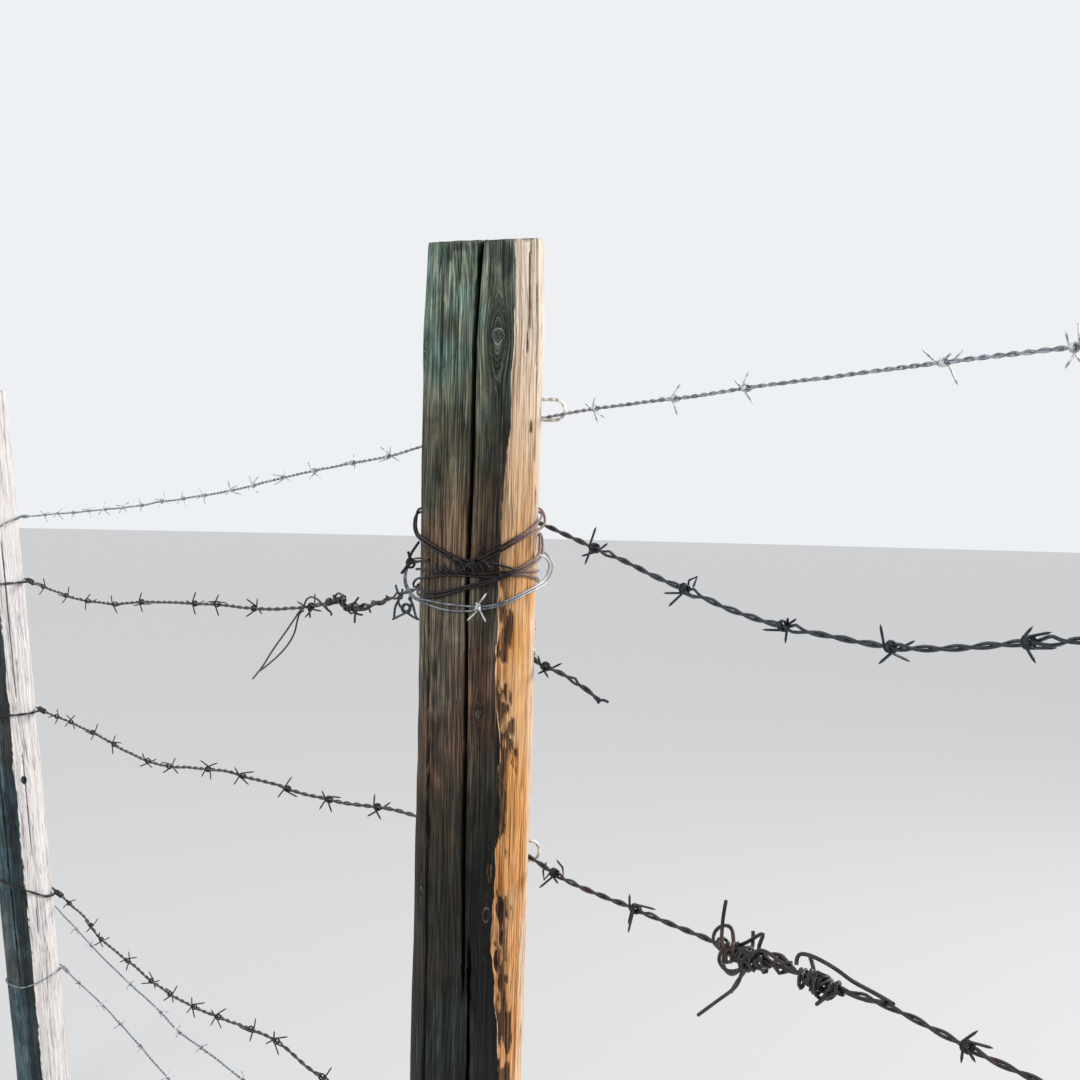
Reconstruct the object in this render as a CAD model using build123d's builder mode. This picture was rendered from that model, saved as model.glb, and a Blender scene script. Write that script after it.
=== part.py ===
from build123d import *
import math
import os

# A barbed wire fence: three round timber posts and the two bays of wire between them.
# Millimetres. +X runs along the row, from the far post to the near post. +Y is the
# field side, where the wires are stapled, and +Z is up. The origin is the middle of
# the main post where it leaves the ground.

os.makedirs("parts", exist_ok=True)

# Driving dimensions of the posts
BAY = 2000.0
POST_HEIGHT = 1400.0
POST_TOP_ACROSS = 104.5
POST_SHOULDER_ACROSS = 108.0
POST_MIDDLE_ACROSS = 103.5
POST_GROUND_ACROSS = 97.0
SHOULDER_DROP = 85.0
MIDDLE_DROP = 390.0
TOP_CUT_DEG = 8.4
FAR_POST_SHORTER = 42.0
FAR_POST_ACROSS = 102.0
FAR_LEAN_BACK_DEG = 2.8
FAR_LEAN_SIDE_DEG = 5.8
NEAR_POST_SHORTER = 10.0
CRACK_WIDTH = 5.5
CRACK_DEPTH = 30.0

# Driving dimensions of the wire
OLD_STRAND = 2.5
NEW_STRAND = 1.7
OLD_REACH = 18.0
NEW_REACH = 13.5
BARB_PITCH = 135.0
STAPLE_WIRE = 3.2
STAPLE_PROUD = 21.0
STAPLE_SPREAD = 18.5
SEAT = 0.3
STRAY = 3.0
TIE_LEAVES = 24.0
TIE_TAIL = 55.0
LEFT_SPLICE_ACROSS = 10.0
FIRST_COIL_ACROSS = 20.0
SECOND_COIL_ACROSS = 14.0

# Distances along the wires from the middle of the main post to their mends
BENT_END_AT = 258.0
LEFT_SPLICE_AT = 318.0
LEFT_SPLICE_LENGTH = 187.0
HANGING_TAIL_AT = 586.0
FIRST_COIL_AT = 339.0
FIRST_COIL_LENGTH = 48.0
SECOND_COIL_AT = 446.0
SECOND_COIL_LENGTH = 47.0

# Heights of the wires behind the main post: the upper three hang below its top, the
# lower three stand above the ground
TOP_DROP = 157.0
SECOND_LEFT_DROP = 276.0
SECOND_RIGHT_DROP = 251.0
TAIL_DROP = 374.0
THIRD_DROP = 554.0
FOURTH_HEIGHT = 520.0
LOOSE_BELOW_AT_MAIN = 92.0
LOOSE_BELOW_AT_FAR = 32.0
BOTTOM_HEIGHT = 285.0

# Falls of each wire from the main post to the far post, and rises to the near post
TOP_FALL = 125.0
SECOND_FALL = 125.0
THIRD_FALL = 95.0
FOURTH_FALL = 120.0
BOTTOM_FALL = 30.0
TOP_RISE = 28.0
SECOND_RISE = -24.0
THIRD_RISE = 14.0
LOWER_RISE = 8.0


FAR_POST_HEIGHT = POST_HEIGHT - FAR_POST_SHORTER
NEAR_POST_HEIGHT = POST_HEIGHT - NEAR_POST_SHORTER


class Post:
    """A round post: its place, its lean and its width, given at rising heights."""

    def __init__(self, x, lean_back, lean_side, widths):
        self.x = x
        self.lean = (-math.tan(math.radians(lean_back)), -math.tan(math.radians(lean_side)))
        self.widths = widths

    def radius(self, z):
        lower, upper = self.widths[0], self.widths[-1]
        for first, second in zip(self.widths, self.widths[1:]):
            if first[0] <= z <= second[0]:
                lower, upper = first, second
        share = (min(z, upper[0]) - lower[0]) / (upper[0] - lower[0])
        return (lower[1] + (upper[1] - lower[1]) * share) / 2

    def centre(self, z):
        return Vector(self.x + self.lean[0] * z, self.lean[1] * z, z)

    def beside(self, degrees, z, out):
        """A point out from the bark, at an angle counted from +X towards +Y."""
        turn = math.radians(degrees)
        across = math.cos(turn) * self.lean[0] + math.sin(turn) * self.lean[1]
        reach = (self.radius(z) + out) * math.sqrt(1 + across ** 2)
        return self.centre(z) + Vector(math.cos(turn), math.sin(turn), 0) * reach


MAIN = Post(0, 0, 0, (
    (0, POST_GROUND_ACROSS),
    (POST_HEIGHT - MIDDLE_DROP, POST_MIDDLE_ACROSS),
    (POST_HEIGHT - SHOULDER_DROP, POST_SHOULDER_ACROSS),
    (POST_HEIGHT, POST_TOP_ACROSS),
))
FAR = Post(-BAY, FAR_LEAN_BACK_DEG, FAR_LEAN_SIDE_DEG, (
    (0, POST_GROUND_ACROSS),
    (FAR_POST_HEIGHT - MIDDLE_DROP, FAR_POST_ACROSS),
    (FAR_POST_HEIGHT, FAR_POST_ACROSS),
))
NEAR = Post(BAY, 0, 0, (
    (0, POST_GROUND_ACROSS),
    (NEAR_POST_HEIGHT - MIDDLE_DROP, POST_MIDDLE_ACROSS),
    (NEAR_POST_HEIGHT, POST_TOP_ACROSS),
))


def save(piece, name):
    """Label a finished piece and write its file."""
    piece.label = name
    export_step(piece, f"parts/{name}.step")


def post_trunk(post, height, cut_deg, cut_towards):
    """The turned trunk of a post, sawn level at the ground and slanted at its top."""
    lean = Vector(post.lean[0], post.lean[1], 1)
    stretch = lean.length
    upright = Plane(origin=(post.x, 0, 0), x_dir=(1, 0, -lean.X), z_dir=lean)
    below = -post.widths[0][1] / 2
    with BuildPart() as trunk:
        with BuildSketch(Plane(upright.origin, x_dir=upright.x_dir, z_dir=-upright.y_dir)):
            with BuildLine():
                outline = [(0, below), (post.widths[0][1] / 2, below)]
                outline += [(width / 2, z * stretch) for z, width in post.widths]
                Polyline(*outline, (0, height * stretch), close=True)
            make_face()
        revolve(axis=Axis(upright.origin, upright.z_dir))
        split(bisect_by=Plane.XY, keep=Keep.TOP)
        facing = math.radians(cut_towards)
        tilt = math.tan(math.radians(cut_deg))
        saw = Plane(post.centre(height), z_dir=(math.cos(facing) * tilt, math.sin(facing) * tilt, 1))
        split(bisect_by=saw, keep=Keep.BOTTOM)
    return trunk.part


def crack(post, stations, depth):
    """The wedge that a drying crack takes out of a post, from its stations upwards."""
    with BuildPart() as wedge:
        for z, facing, width in stations:
            with BuildSketch(Plane.XY.offset(z)):
                radius = post.radius(z)
                turn = math.radians(facing)
                out = Vector(math.cos(turn), math.sin(turn), 0)
                side = Vector(-out.Y, out.X, 0)
                middle = post.centre(z)
                rim = middle + out * (radius + width)
                flare = width * (depth + width) / depth
                root = middle + out * (radius - depth)
                corners = [rim + side * flare / 2, rim - side * flare / 2, root]
                Polygon(*[(p.X, p.Y) for p in corners], align=None)
        loft(ruled=True)
    return wedge.part


def make_posts():
    camera_side = -24
    main_stations = (
        (-1, camera_side, CRACK_WIDTH * 0.7),
        (POST_HEIGHT * 0.35, camera_side - 4, CRACK_WIDTH * 0.7),
        (POST_HEIGHT * 0.6, camera_side - 9, CRACK_WIDTH * 0.8),
        (POST_HEIGHT * 0.85, camera_side - 9, CRACK_WIDTH),
        (POST_HEIGHT + 1, camera_side - 4, CRACK_WIDTH),
    )
    near_stations = (
        (POST_HEIGHT * 0.3, -70, CRACK_WIDTH * 0.4),
        (POST_HEIGHT * 0.7, -75, CRACK_WIDTH),
        (POST_HEIGHT + 1, -66, CRACK_WIDTH),
    )
    with BuildPart() as main_post:
        add(post_trunk(MAIN, POST_HEIGHT, TOP_CUT_DEG, camera_side))
        add(crack(MAIN, main_stations, CRACK_DEPTH), mode=Mode.SUBTRACT)
    save(main_post.part, "main_post")
    with BuildPart() as near_post:
        add(post_trunk(NEAR, NEAR_POST_HEIGHT, TOP_CUT_DEG / 2, -60))
        add(crack(NEAR, near_stations, CRACK_DEPTH * 0.7), mode=Mode.SUBTRACT)
    save(near_post.part, "near_post")
    save(post_trunk(FAR, FAR_POST_HEIGHT, TOP_CUT_DEG / 2, 150), "far_post")


def bent_rod(points, across):
    """A six-sided rod with mitred corners along a list of points."""
    with BuildPart() as rod:
        with BuildLine() as line:
            Polyline(*points)
        start = Vector(*points[0])
        ahead = Vector(*points[1]) - start
        level = Vector(-ahead.Y, ahead.X, 0)
        with BuildSketch(Plane(start, x_dir=level, z_dir=ahead)):
            RegularPolygon(across / 2, 6)
        sweep(path=line.line, transition=Transition.RIGHT)
    return rod.part


def round_post(post, stations, across, step=18):
    """Points round a post, from (degrees, height, out) stations, a step apart or less."""
    points = []
    for (a0, z0, out0), (a1, z1, out1) in zip(stations, stations[1:]):
        count = max(1, math.ceil(abs(a1 - a0) / step))
        for k in range(count):
            share = k / count
            points.append((a0 + (a1 - a0) * share, z0 + (z1 - z0) * share,
                           out0 + (out1 - out0) * share))
    points.append(stations[-1])
    turned = 1 / math.cos(math.radians(step / 2))
    route = []
    for degrees, z, out in points:
        slack = (post.radius(z) + out) * (turned - 1)
        route.append(post.beside(degrees, z, out + slack + SEAT + across / 2))
    return route


def back_of(post, z, across):
    """Where a wire of that thickness lies behind a post."""
    return post.beside(90, z, SEAT + across / 2)


def bay_route(start, end, bends):
    """A wire from one post to the next, with (share of the bay, lift) bends between."""
    run = end - start
    return [start] + [start + run * share + Vector(0, 0, lift) for share, lift in bends] + [end]


TOP_LEFT_BENDS = ((0.03, 0), (0.12, -6), (0.16, -11), (0.27, -12), (0.42, -20), (0.52, -18),
                  (0.62, -18), (0.73, -14), (0.90, -6))
TOP_RIGHT_BENDS = ((0.06, 3), (0.20, 5), (0.35, 8), (0.6, 0), (0.8, -4))
SECOND_LEFT_BENDS = ((0.144, -40), (0.186, -54), (0.211, -56), (0.230, -44), (0.252, -52),
                     (0.294, -56), (0.375, -57), (0.446, -49), (0.628, -46), (0.70, -50),
                     (0.79, -43), (0.86, -30), (0.95, -12))
SECOND_RIGHT_BENDS = ((0.06, -18), (0.135, -46), (0.204, -64), (0.268, -66), (0.294, -62),
                      (0.332, -51), (0.354, -44), (0.5, -34), (0.75, -20))
THIRD_LEFT_BENDS = ((0.125, 5), (0.175, 0), (0.25, -10), (0.40, -8), (0.48, -17), (0.57, -32),
                    (0.63, -32), (0.73, -23), (0.80, -11), (0.93, -6))
THIRD_RIGHT_BENDS = ((0.03, -10), (0.10, -11), (0.17, -9), (0.22, -5), (0.27, -2), (0.34, -10),
                     (0.5, -20), (0.75, -14))
FOURTH_LEFT_BENDS = ((0.26, -8), (0.34, 1), (0.40, -8), (0.47, -25), (0.59, -41), (0.72, -35),
                     (0.81, -31), (0.86, -13), (0.94, -6))
LOWER_RIGHT_BENDS = ((0.25, -14), (0.5, -20), (0.75, -12))
LOOSE_BENDS = ((0.2, -8), (0.41, -14), (0.51, -22), (0.563, -29), (0.62, -20), (0.71, -22),
               (0.85, -14))
BOTTOM_LEFT_BENDS = ((0.3, 0), (0.6, 6), (0.7, 9), (0.82, 12), (0.92, 2))

OLD = 2 * OLD_STRAND
NEW = 2 * NEW_STRAND
FLATS = math.cos(math.radians(30))

# Each wire: its thickness, its height at the main post, the fall and bends to the far
# post, the rise and bends to the near post
TOP_Z = POST_HEIGHT - TOP_DROP
SECOND_LEFT_Z = POST_HEIGHT - SECOND_LEFT_DROP
SECOND_RIGHT_Z = POST_HEIGHT - SECOND_RIGHT_DROP
TAIL_Z = POST_HEIGHT - TAIL_DROP
THIRD_Z = POST_HEIGHT - THIRD_DROP
LOOSE_Z = FOURTH_HEIGHT - LOOSE_BELOW_AT_MAIN
LOOSE_FALL = FOURTH_FALL + LOOSE_BELOW_AT_FAR - LOOSE_BELOW_AT_MAIN


def left_route(across, z, fall, bends):
    """From behind the main post to behind the far post."""
    return bay_route(back_of(MAIN, z, across), back_of(FAR, z - fall, across), bends)


def right_route(across, z, rise, bends):
    """From behind the main post to behind the near post."""
    return bay_route(back_of(MAIN, z, across), back_of(NEAR, z + rise, across), bends)


def whole_route(left, right):
    """One wire past the main post, from the far post to the near post."""
    return left[::-1] + right[1:]


TOP_LEFT = left_route(NEW, TOP_Z, TOP_FALL, TOP_LEFT_BENDS)
TOP_RIGHT = right_route(NEW, TOP_Z, TOP_RISE, TOP_RIGHT_BENDS)
SECOND_LEFT = left_route(OLD, SECOND_LEFT_Z, SECOND_FALL, SECOND_LEFT_BENDS)
SECOND_RIGHT = right_route(OLD, SECOND_RIGHT_Z, SECOND_RISE, SECOND_RIGHT_BENDS)
THIRD_LEFT = left_route(OLD, THIRD_Z, THIRD_FALL, THIRD_LEFT_BENDS)
THIRD_RIGHT = right_route(OLD, THIRD_Z, THIRD_RISE, THIRD_RIGHT_BENDS)
FOURTH_LEFT = left_route(OLD, FOURTH_HEIGHT, FOURTH_FALL, FOURTH_LEFT_BENDS)
FOURTH_RIGHT = right_route(OLD, FOURTH_HEIGHT, LOWER_RISE, LOWER_RIGHT_BENDS)
LOOSE_LEFT = left_route(NEW, LOOSE_Z, LOOSE_FALL, LOOSE_BENDS)
BOTTOM_LEFT = left_route(NEW, BOTTOM_HEIGHT, BOTTOM_FALL, BOTTOM_LEFT_BENDS)
BOTTOM_RIGHT = right_route(NEW, BOTTOM_HEIGHT, LOWER_RISE, LOWER_RIGHT_BENDS)


def make_wires():
    save(bent_rod(whole_route(TOP_LEFT, TOP_RIGHT), NEW), "top_wire")
    save(bent_rod(SECOND_LEFT[::-1], OLD), "second_wire_left")
    save(bent_rod(SECOND_RIGHT, OLD), "second_wire_right")
    save(bent_rod(whole_route(THIRD_LEFT, THIRD_RIGHT), OLD), "third_wire")
    save(bent_rod(whole_route(FOURTH_LEFT, FOURTH_RIGHT), OLD), "fourth_wire")
    save(bent_rod(LOOSE_LEFT, NEW), "loose_wire")
    save(bent_rod(whole_route(BOTTOM_LEFT, BOTTOM_RIGHT), NEW), "bottom_wire")


def on_route(route, x):
    """The point of a route at x, and the way that it runs there."""
    for first, second in zip(route, route[1:]):
        if min(first.X, second.X) <= x <= max(first.X, second.X):
            run = second - first
            return first + run * ((x - first.X) / run.X), run.normalized()
    raise ValueError(f"no wire at {x}")


def off_wire(route, spots):
    """Points given as (x, side, lift) from a wire that runs past x."""
    return [on_route(route, x)[0] + Vector(0, side, lift) for x, side, lift in spots]


FOUR_POINTS = ((10, 0.3), (105, -0.3), (190, -0.1), (285, 0.1))
THREE_POINTS = ((85, 0.3), (265, 0.3), (250, -0.3))


def one_barb(across, reach, spikes):
    """A barb upright on the origin: a wound collar and its points."""
    inner = across / 2 + 1.5 * SEAT
    point_wire = across * 0.4
    outer = inner + point_wire
    length = across * 2
    with BuildPart() as barb:
        with BuildSketch():
            RegularPolygon(outer, 6, major_radius=False)
            RegularPolygon(inner, 6, major_radius=False, mode=Mode.SUBTRACT)
        extrude(amount=length / 2, both=True)
        for turn, shift in spikes:
            way = Vector(1, 0, 0).rotate(Axis.Z, turn)
            root = way * (inner + point_wire / 2) + Vector(0, 0, shift * length)
            with BuildSketch(Plane(root, z_dir=way)):
                RegularPolygon(point_wire / 2, 4)
            extrude(amount=reach - inner)
    return barb.part


def barb_node(name, across, reach, places, spikes=FOUR_POINTS):
    """All the barbs of one wire, as solids that don't touch."""
    single = one_barb(across, reach, spikes)
    spots = []
    for number, (point, way) in enumerate(places):
        level = Vector(-way.Y, way.X, 0)
        spots.append(Plane(point, x_dir=level, z_dir=way).location * Rotation(0, 0, 47 * number))
    with BuildPart() as barbs:
        with Locations(*spots):
            add(single)
    save(barbs.part, name)


# Where the barbs sit, in pitches from the main post or from a mend, which one of them
# comes before. After the last one they go on a pitch apart to the next post.
TOP_LEFT_BARBS = (0.85, 1.64, 2.44, 3.15, 4.01, 4.8, 5.54, 6.15, 6.97, 7.67, 8.43, 9.19, 9.94, 10.69,
                  11.44, 12.19, 12.94, 13.69)
TOP_RIGHT_BARBS = (0.85, 1.85, 2.62, 4.3, 5.15)
SECOND_LEFT_BARBS = (-0.27, 1.21, 2.31, 3.06, 4.96, 6.07, 7.35, 8.44, 9.75)
SECOND_RIGHT_BARBS = (0.9, 1.99, 3.02, 3.98, 4.92, 5.93)
THIRD_LEFT_BARBS = (1.48, 2.59, 3.67, 4.7, 5.93, 7.09, 8.47, 9.32, 10.83, 11.87, 13.04, 13.84)
THIRD_RIGHT_BARBS = (0.42, 1.53)
THIRD_BARBS_PAST_MEND = (0.98, 1.98)
FOURTH_LEFT_BARBS = (1.04, 2.0, 2.93, 3.84, 5.07, 5.85, 6.92, 7.79, 8.73, 9.56, 10.68, 12.02, 12.64,
                     13.93)
LOOSE_BARBS = (1.04, 2.44, 3.85, 5.11, 6.09, 7.52, 8.35, 9.17, 10.57, 12.62, 13.56)
BOTTOM_LEFT_BARBS = (1, 2, 3, 4, 5, 6, 7, 8, 8.99, 10.28, 11.27, 12.23, 13.66)
EVEN_BARBS = (1,)


def places_on(route, side, pitches, start=0, more=True):
    """Places for barbs on one side of the main post, counted in pitches from start."""
    distances = [start + BARB_PITCH * count for count in pitches]
    last = BAY - BARB_PITCH / 2
    while more and distances[-1] < last:
        distances.append(distances[-1] + BARB_PITCH)
    places = []
    for distance in distances:
        if distance < last:
            first = on_route(route, side * distance - OLD)[0]
            second = on_route(route, side * distance + OLD)[0]
            places.append(((first + second) / 2, (second - first).normalized()))
    return places


def make_barbs():
    past_tail = places_on(SECOND_LEFT, -1, SECOND_LEFT_BARBS, HANGING_TAIL_AT)
    past_mend = SECOND_COIL_AT + SECOND_COIL_LENGTH
    third = places_on(THIRD_LEFT, -1, THIRD_LEFT_BARBS)
    third += places_on(THIRD_RIGHT, 1, THIRD_RIGHT_BARBS, more=False)
    third += places_on(THIRD_RIGHT, 1, THIRD_BARBS_PAST_MEND, past_mend)
    barb_node("top_wire_barbs", NEW, NEW_REACH,
              places_on(TOP_LEFT, -1, TOP_LEFT_BARBS) + places_on(TOP_RIGHT, 1, TOP_RIGHT_BARBS))
    barb_node("second_left_barbs", OLD, OLD_REACH, past_tail)
    barb_node("second_right_barbs", OLD, OLD_REACH, places_on(SECOND_RIGHT, 1, SECOND_RIGHT_BARBS))
    barb_node("third_wire_barbs", OLD, OLD_REACH, third)
    barb_node("fourth_wire_barbs", OLD, OLD_REACH,
              places_on(FOURTH_LEFT, -1, FOURTH_LEFT_BARBS) + places_on(FOURTH_RIGHT, 1, EVEN_BARBS))
    barb_node("loose_wire_barbs", NEW, NEW_REACH, places_on(LOOSE_LEFT, -1, LOOSE_BARBS))
    barb_node("bottom_wire_barbs", NEW, NEW_REACH,
              places_on(BOTTOM_LEFT, -1, BOTTOM_LEFT_BARBS) + places_on(BOTTOM_RIGHT, 1, EVEN_BARBS))


def staple(post, degrees, low, high, proud):
    """A fencing staple: two legs out of the bark and the round crown between them."""
    half = (high - low) / 2
    bow = min(half, 0.7 * proud)
    points = [post.beside(degrees, high, SEAT)]
    for turn in (90, 45, 0, -45, -90):
        out = proud - bow + bow * math.cos(math.radians(turn))
        points.append(post.beside(degrees, low + half + half * math.sin(math.radians(turn)), out))
    points.append(post.beside(degrees, low, SEAT))
    return bent_rod(points, STAPLE_WIRE)


def tight_staple(post, degrees, z, across):
    """A staple driven down over a wire that lies against the post."""
    half = across / 2 + SEAT + STAPLE_WIRE / 2 + SEAT
    proud = across + 4 * SEAT + STAPLE_WIRE / 2
    return staple(post, degrees, z - half - 1, z + half + 1, proud + 1)


def tie_stations(post, z, across, drop):
    """A wire's end wound once round a post and brought back below the wire."""
    turn = -1 if post is NEAR else 1
    under = across + 2 * SEAT
    marks = ((91.3, 0), (180, 0.6), (270, 1), (325, 1), (355, 0.6), (400, 0), (430, 0))
    stations = [(mark, z - drop * share - under * (mark > 300), 0) for mark, share in marks]
    return [(90 + turn * (mark - 90), height, out) for mark, height, out in stations]


def end_tie(post, wire, across, drop):
    """The end tie as one rod, with its tail laid under the standing wire."""
    end = wire[-1]
    route = round_post(post, tie_stations(post, end.Z, across, drop), across)
    into_bay = 1 if post is FAR else -1
    under = -across - 2 * SEAT
    for reach in (TIE_LEAVES, TIE_LEAVES + TIE_TAIL):
        route += off_wire(wire, ((end.X + into_bay * reach, 0, under),))
    return bent_rod(route, across)


def staple_mark(post, z, drop):
    """Where the end staple sits: over the tie, on the side away from the bay."""
    degrees = 150 if post is FAR else 30
    return degrees, z - drop * 0.4


TIED = (
    ("top", TOP_LEFT, TOP_RIGHT, NEW, 35),
    ("second", SECOND_LEFT, SECOND_RIGHT, OLD, 4),
    ("third", THIRD_LEFT, THIRD_RIGHT, OLD, 3),
    ("fourth", FOURTH_LEFT, FOURTH_RIGHT, OLD, -28),
    ("bottom", BOTTOM_LEFT, BOTTOM_RIGHT, NEW, 25),
)


def make_end_ties():
    for end, post, side in (("far", FAR, 1), ("near", NEAR, 2)):
        with BuildPart() as staples:
            for row in TIED:
                name, wire, across, drop = row[0], row[side], row[3], row[4]
                save(end_tie(post, wire, across, drop), f"{end}_{name}_tie")
                degrees, height = staple_mark(post, wire[-1].Z, drop)
                add(tight_staple(post, degrees, height, across))
        save(staples.part, f"{end}_post_staples")


def make_main_staples():
    wire = on_route(TOP_RIGHT, 29)[0].Z
    low = wire - NEW / 2 - STAPLE_WIRE / 2 - 2 * SEAT
    save(staple(MAIN, 62, low, low + STAPLE_SPREAD, STAPLE_PROUD), "top_staple")
    wire = on_route(THIRD_RIGHT, 13)[0].Z
    low = wire - OLD / 2 - STAPLE_WIRE / 2 - 8 * SEAT
    save(staple(MAIN, 76, low, low + STAPLE_SPREAD, OLD + 8 * SEAT + STAPLE_WIRE), "third_staple")
    with BuildPart() as staples:
        for z, across in ((TAIL_Z, OLD), (FOURTH_HEIGHT, OLD), (LOOSE_Z, NEW), (BOTTOM_HEIGHT, NEW)):
            add(tight_staple(MAIN, 94, z, across))
    save(staples.part, "main_post_staples")


def make_main_ties():
    """The two second wires, each tied off round the main post, and what hangs on them."""
    upper = [(91.3, 0), (180, 7), (246, 3), (264, -14), (287, -22), (307, -27), (325, -32),
             (336, -32), (359, -21), (386, -8), (405, -3), (426, 3), (440, 8)]
    upper = [(mark, SECOND_RIGHT_Z + lift, 0) for mark, lift in upper]
    save(bent_rod(round_post(MAIN, upper, OLD), OLD), "second_right_tie")
    lower = [(88.7, 0, 0), (74, 9, 1.5), (66, 11, 4), (57, 4, 4), (43, -8, 1), (11.5, -19, 0),
             (-1.4, -24, 0), (-24, -31, 0), (-46, -37, 0), (-76, -41, 0), (-114, -42, 0),
             (-180, -34, 0), (-236, -24, 0)]
    lower = [(mark, SECOND_LEFT_Z + lift, out) for mark, lift, out in lower]
    save(bent_rod(round_post(MAIN, lower, OLD), OLD), "second_left_tie")
    over = OLD + 2 * SEAT
    stray = [(258, -26, over - 2), (266, -20, over), (287, -17, over), (300, -15, over),
             (336, -20, over), (359, -18, over), (385, -18, over), (404, -19, over)]
    stray = [(mark, SECOND_LEFT_Z + lift, out) for mark, lift, out in stray]
    save(bent_rod(round_post(MAIN, stray, STRAY), STRAY), "stray_strand")
    hoop = [(200, -12, 3), (235, -15, 8), (250, -24, 12), (258, -34, 9), (267, -41, over),
            (276, -46.5, over), (285, -49.5, 3), (293, -50, 2.5), (318, -50, 4.2), (336, -50, 4.2),
            (352, -49, 4.2), (365, -44, 2), (378, -37, 1), (403, -28, 6), (415, -20, 11),
            (425, -12, 12.5), (432, -6, 10), (438, -4, 7.5)]
    hoop = [(mark, SECOND_LEFT_Z + lift, out) for mark, lift, out in hoop]
    route = round_post(MAIN, hoop, NEW)
    save(bent_rod(route, NEW), "galvanized_tie")
    before = max(range(len(route) - 1), key=lambda k: route[k].X - route[k].Y - route[k].Z)
    spot = (route[before] + route[before + 1]) / 2
    barb_node("galvanized_tie_barb", NEW, NEW_REACH,
              [(spot, (route[before + 1] - route[before]).normalized())], THREE_POINTS)


def make_cut_ends():
    """The cut wires left on the fence: behind the main post and on both second wires."""
    behind = back_of(MAIN, TAIL_Z, OLD)
    tail = [behind + Vector(x, 0, lift) for x, lift in ((-32, 4), (0, 0), (26, -6), (96, -15), (145, -27))]
    save(bent_rod(tail, OLD), "cut_tail")
    barb_node("cut_tail_barb", OLD, OLD_REACH, [on_route(tail, 42)])
    touch = OLD * FLATS + SEAT
    hanging = [(0, 0, -touch), (-20, 0, -19), (-126, -4, -74), (-155, -5, -87)]
    hanging = off_wire(SECOND_LEFT, [(x - HANGING_TAIL_AT, side, lift) for x, side, lift in hanging])
    save(bent_rod(hanging, OLD), "hanging_tail")
    near = OLD / 2 + SEAT + STRAY / 2
    knot = [(-48, 0, -23), (-40, 0, -near), (-19, 0, -11), (0, 0, -29)]
    knot = off_wire(SECOND_LEFT, [(x - BENT_END_AT, side, lift) for x, side, lift in knot])
    save(bent_rod(knot, STRAY), "bent_end")


def sleeve(route, low, length, outer, inner):
    """A six-sided sleeve of wound wire round a stretch of a route, from its lower x."""
    high = low + length
    inside = [p for p in route if low + 1 < p.X < high - 1]
    inside.sort(key=lambda p: p.X)
    points = [on_route(route, low)[0]] + inside + [on_route(route, high)[0]]
    ahead = points[1] - points[0]
    with BuildPart() as tube:
        with BuildLine() as line:
            Polyline(*points)
        with BuildSketch(Plane(points[0], x_dir=(-ahead.Y, ahead.X, 0), z_dir=ahead)):
            RegularPolygon(outer / 2, 6, major_radius=False)
            RegularPolygon(inner / 2, 6, major_radius=False, mode=Mode.SUBTRACT)
        sweep(path=line.line, transition=Transition.RIGHT)
    return tube.part


def make_splices():
    bore = OLD + 2 * SEAT
    far_end = -LEFT_SPLICE_AT - LEFT_SPLICE_LENGTH
    save(sleeve(SECOND_LEFT, far_end, LEFT_SPLICE_LENGTH, LEFT_SPLICE_ACROSS, bore), "left_splice")
    with BuildPart() as coils:
        add(sleeve(THIRD_RIGHT, FIRST_COIL_AT, FIRST_COIL_LENGTH, FIRST_COIL_ACROSS, bore))
        add(sleeve(THIRD_RIGHT, SECOND_COIL_AT, SECOND_COIL_LENGTH, SECOND_COIL_ACROSS, bore))
    save(coils.part, "splice_coils")
    first = FIRST_COIL_ACROSS / 2 + SEAT + STRAY / 2 * FLATS
    second = SECOND_COIL_ACROSS / 2 + SEAT + STRAY / 2
    wire = OLD / 2 + SEAT + STRAY / 2
    upper = ((21, 0, first), (11, 0, first), (7, 0, first + 8), (12, 0, first + 22))
    lower = ((43, 0, -first), (32, 0, -first), (21, 0, -29), (-27, 0, -61))
    arch = ((-54, 0, wire), (-42, 0, 13), (-26, 0, 11.5), (-12, 0, wire))
    long_end = ((-2, 0, second + 4), (7, 0, second + 5), (32, 0, second), (52, 0, second))
    for name, start, pair in (("splice_ends", FIRST_COIL_AT, (upper, lower)),
                              ("splice_loops", SECOND_COIL_AT, (arch, long_end))):
        with BuildPart() as rods:
            for spots in pair:
                placed = [(start + x, side, lift) for x, side, lift in spots]
                add(bent_rod(off_wire(THIRD_RIGHT, placed), STRAY))
        save(rods.part, name)


make_posts()
make_wires()
make_barbs()
make_end_ties()
make_main_staples()
make_main_ties()
make_cut_ends()
make_splices()
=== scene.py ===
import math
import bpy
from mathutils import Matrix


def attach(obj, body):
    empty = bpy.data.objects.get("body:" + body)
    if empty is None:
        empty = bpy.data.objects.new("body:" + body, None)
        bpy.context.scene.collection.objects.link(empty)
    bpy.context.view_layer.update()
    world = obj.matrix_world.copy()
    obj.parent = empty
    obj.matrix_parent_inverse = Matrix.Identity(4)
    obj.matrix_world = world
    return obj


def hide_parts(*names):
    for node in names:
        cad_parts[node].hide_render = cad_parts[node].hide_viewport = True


bl_info = {
    "name": "Barbed wire fence",
    "version": (1, 0, 0),
    "blender": (4, 5, 0),
    "location": "3D View > Sidebar > Fence",
    "description": "Weathered posts, twisted strands, barbs, ties and mends of a barbed wire fence",
    "category": "Object",
}

from collections import namedtuple

import bpy
import numpy as np
from bpy.props import FloatProperty, FloatVectorProperty, IntProperty, PointerProperty
from mathutils import Matrix, Vector

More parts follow.
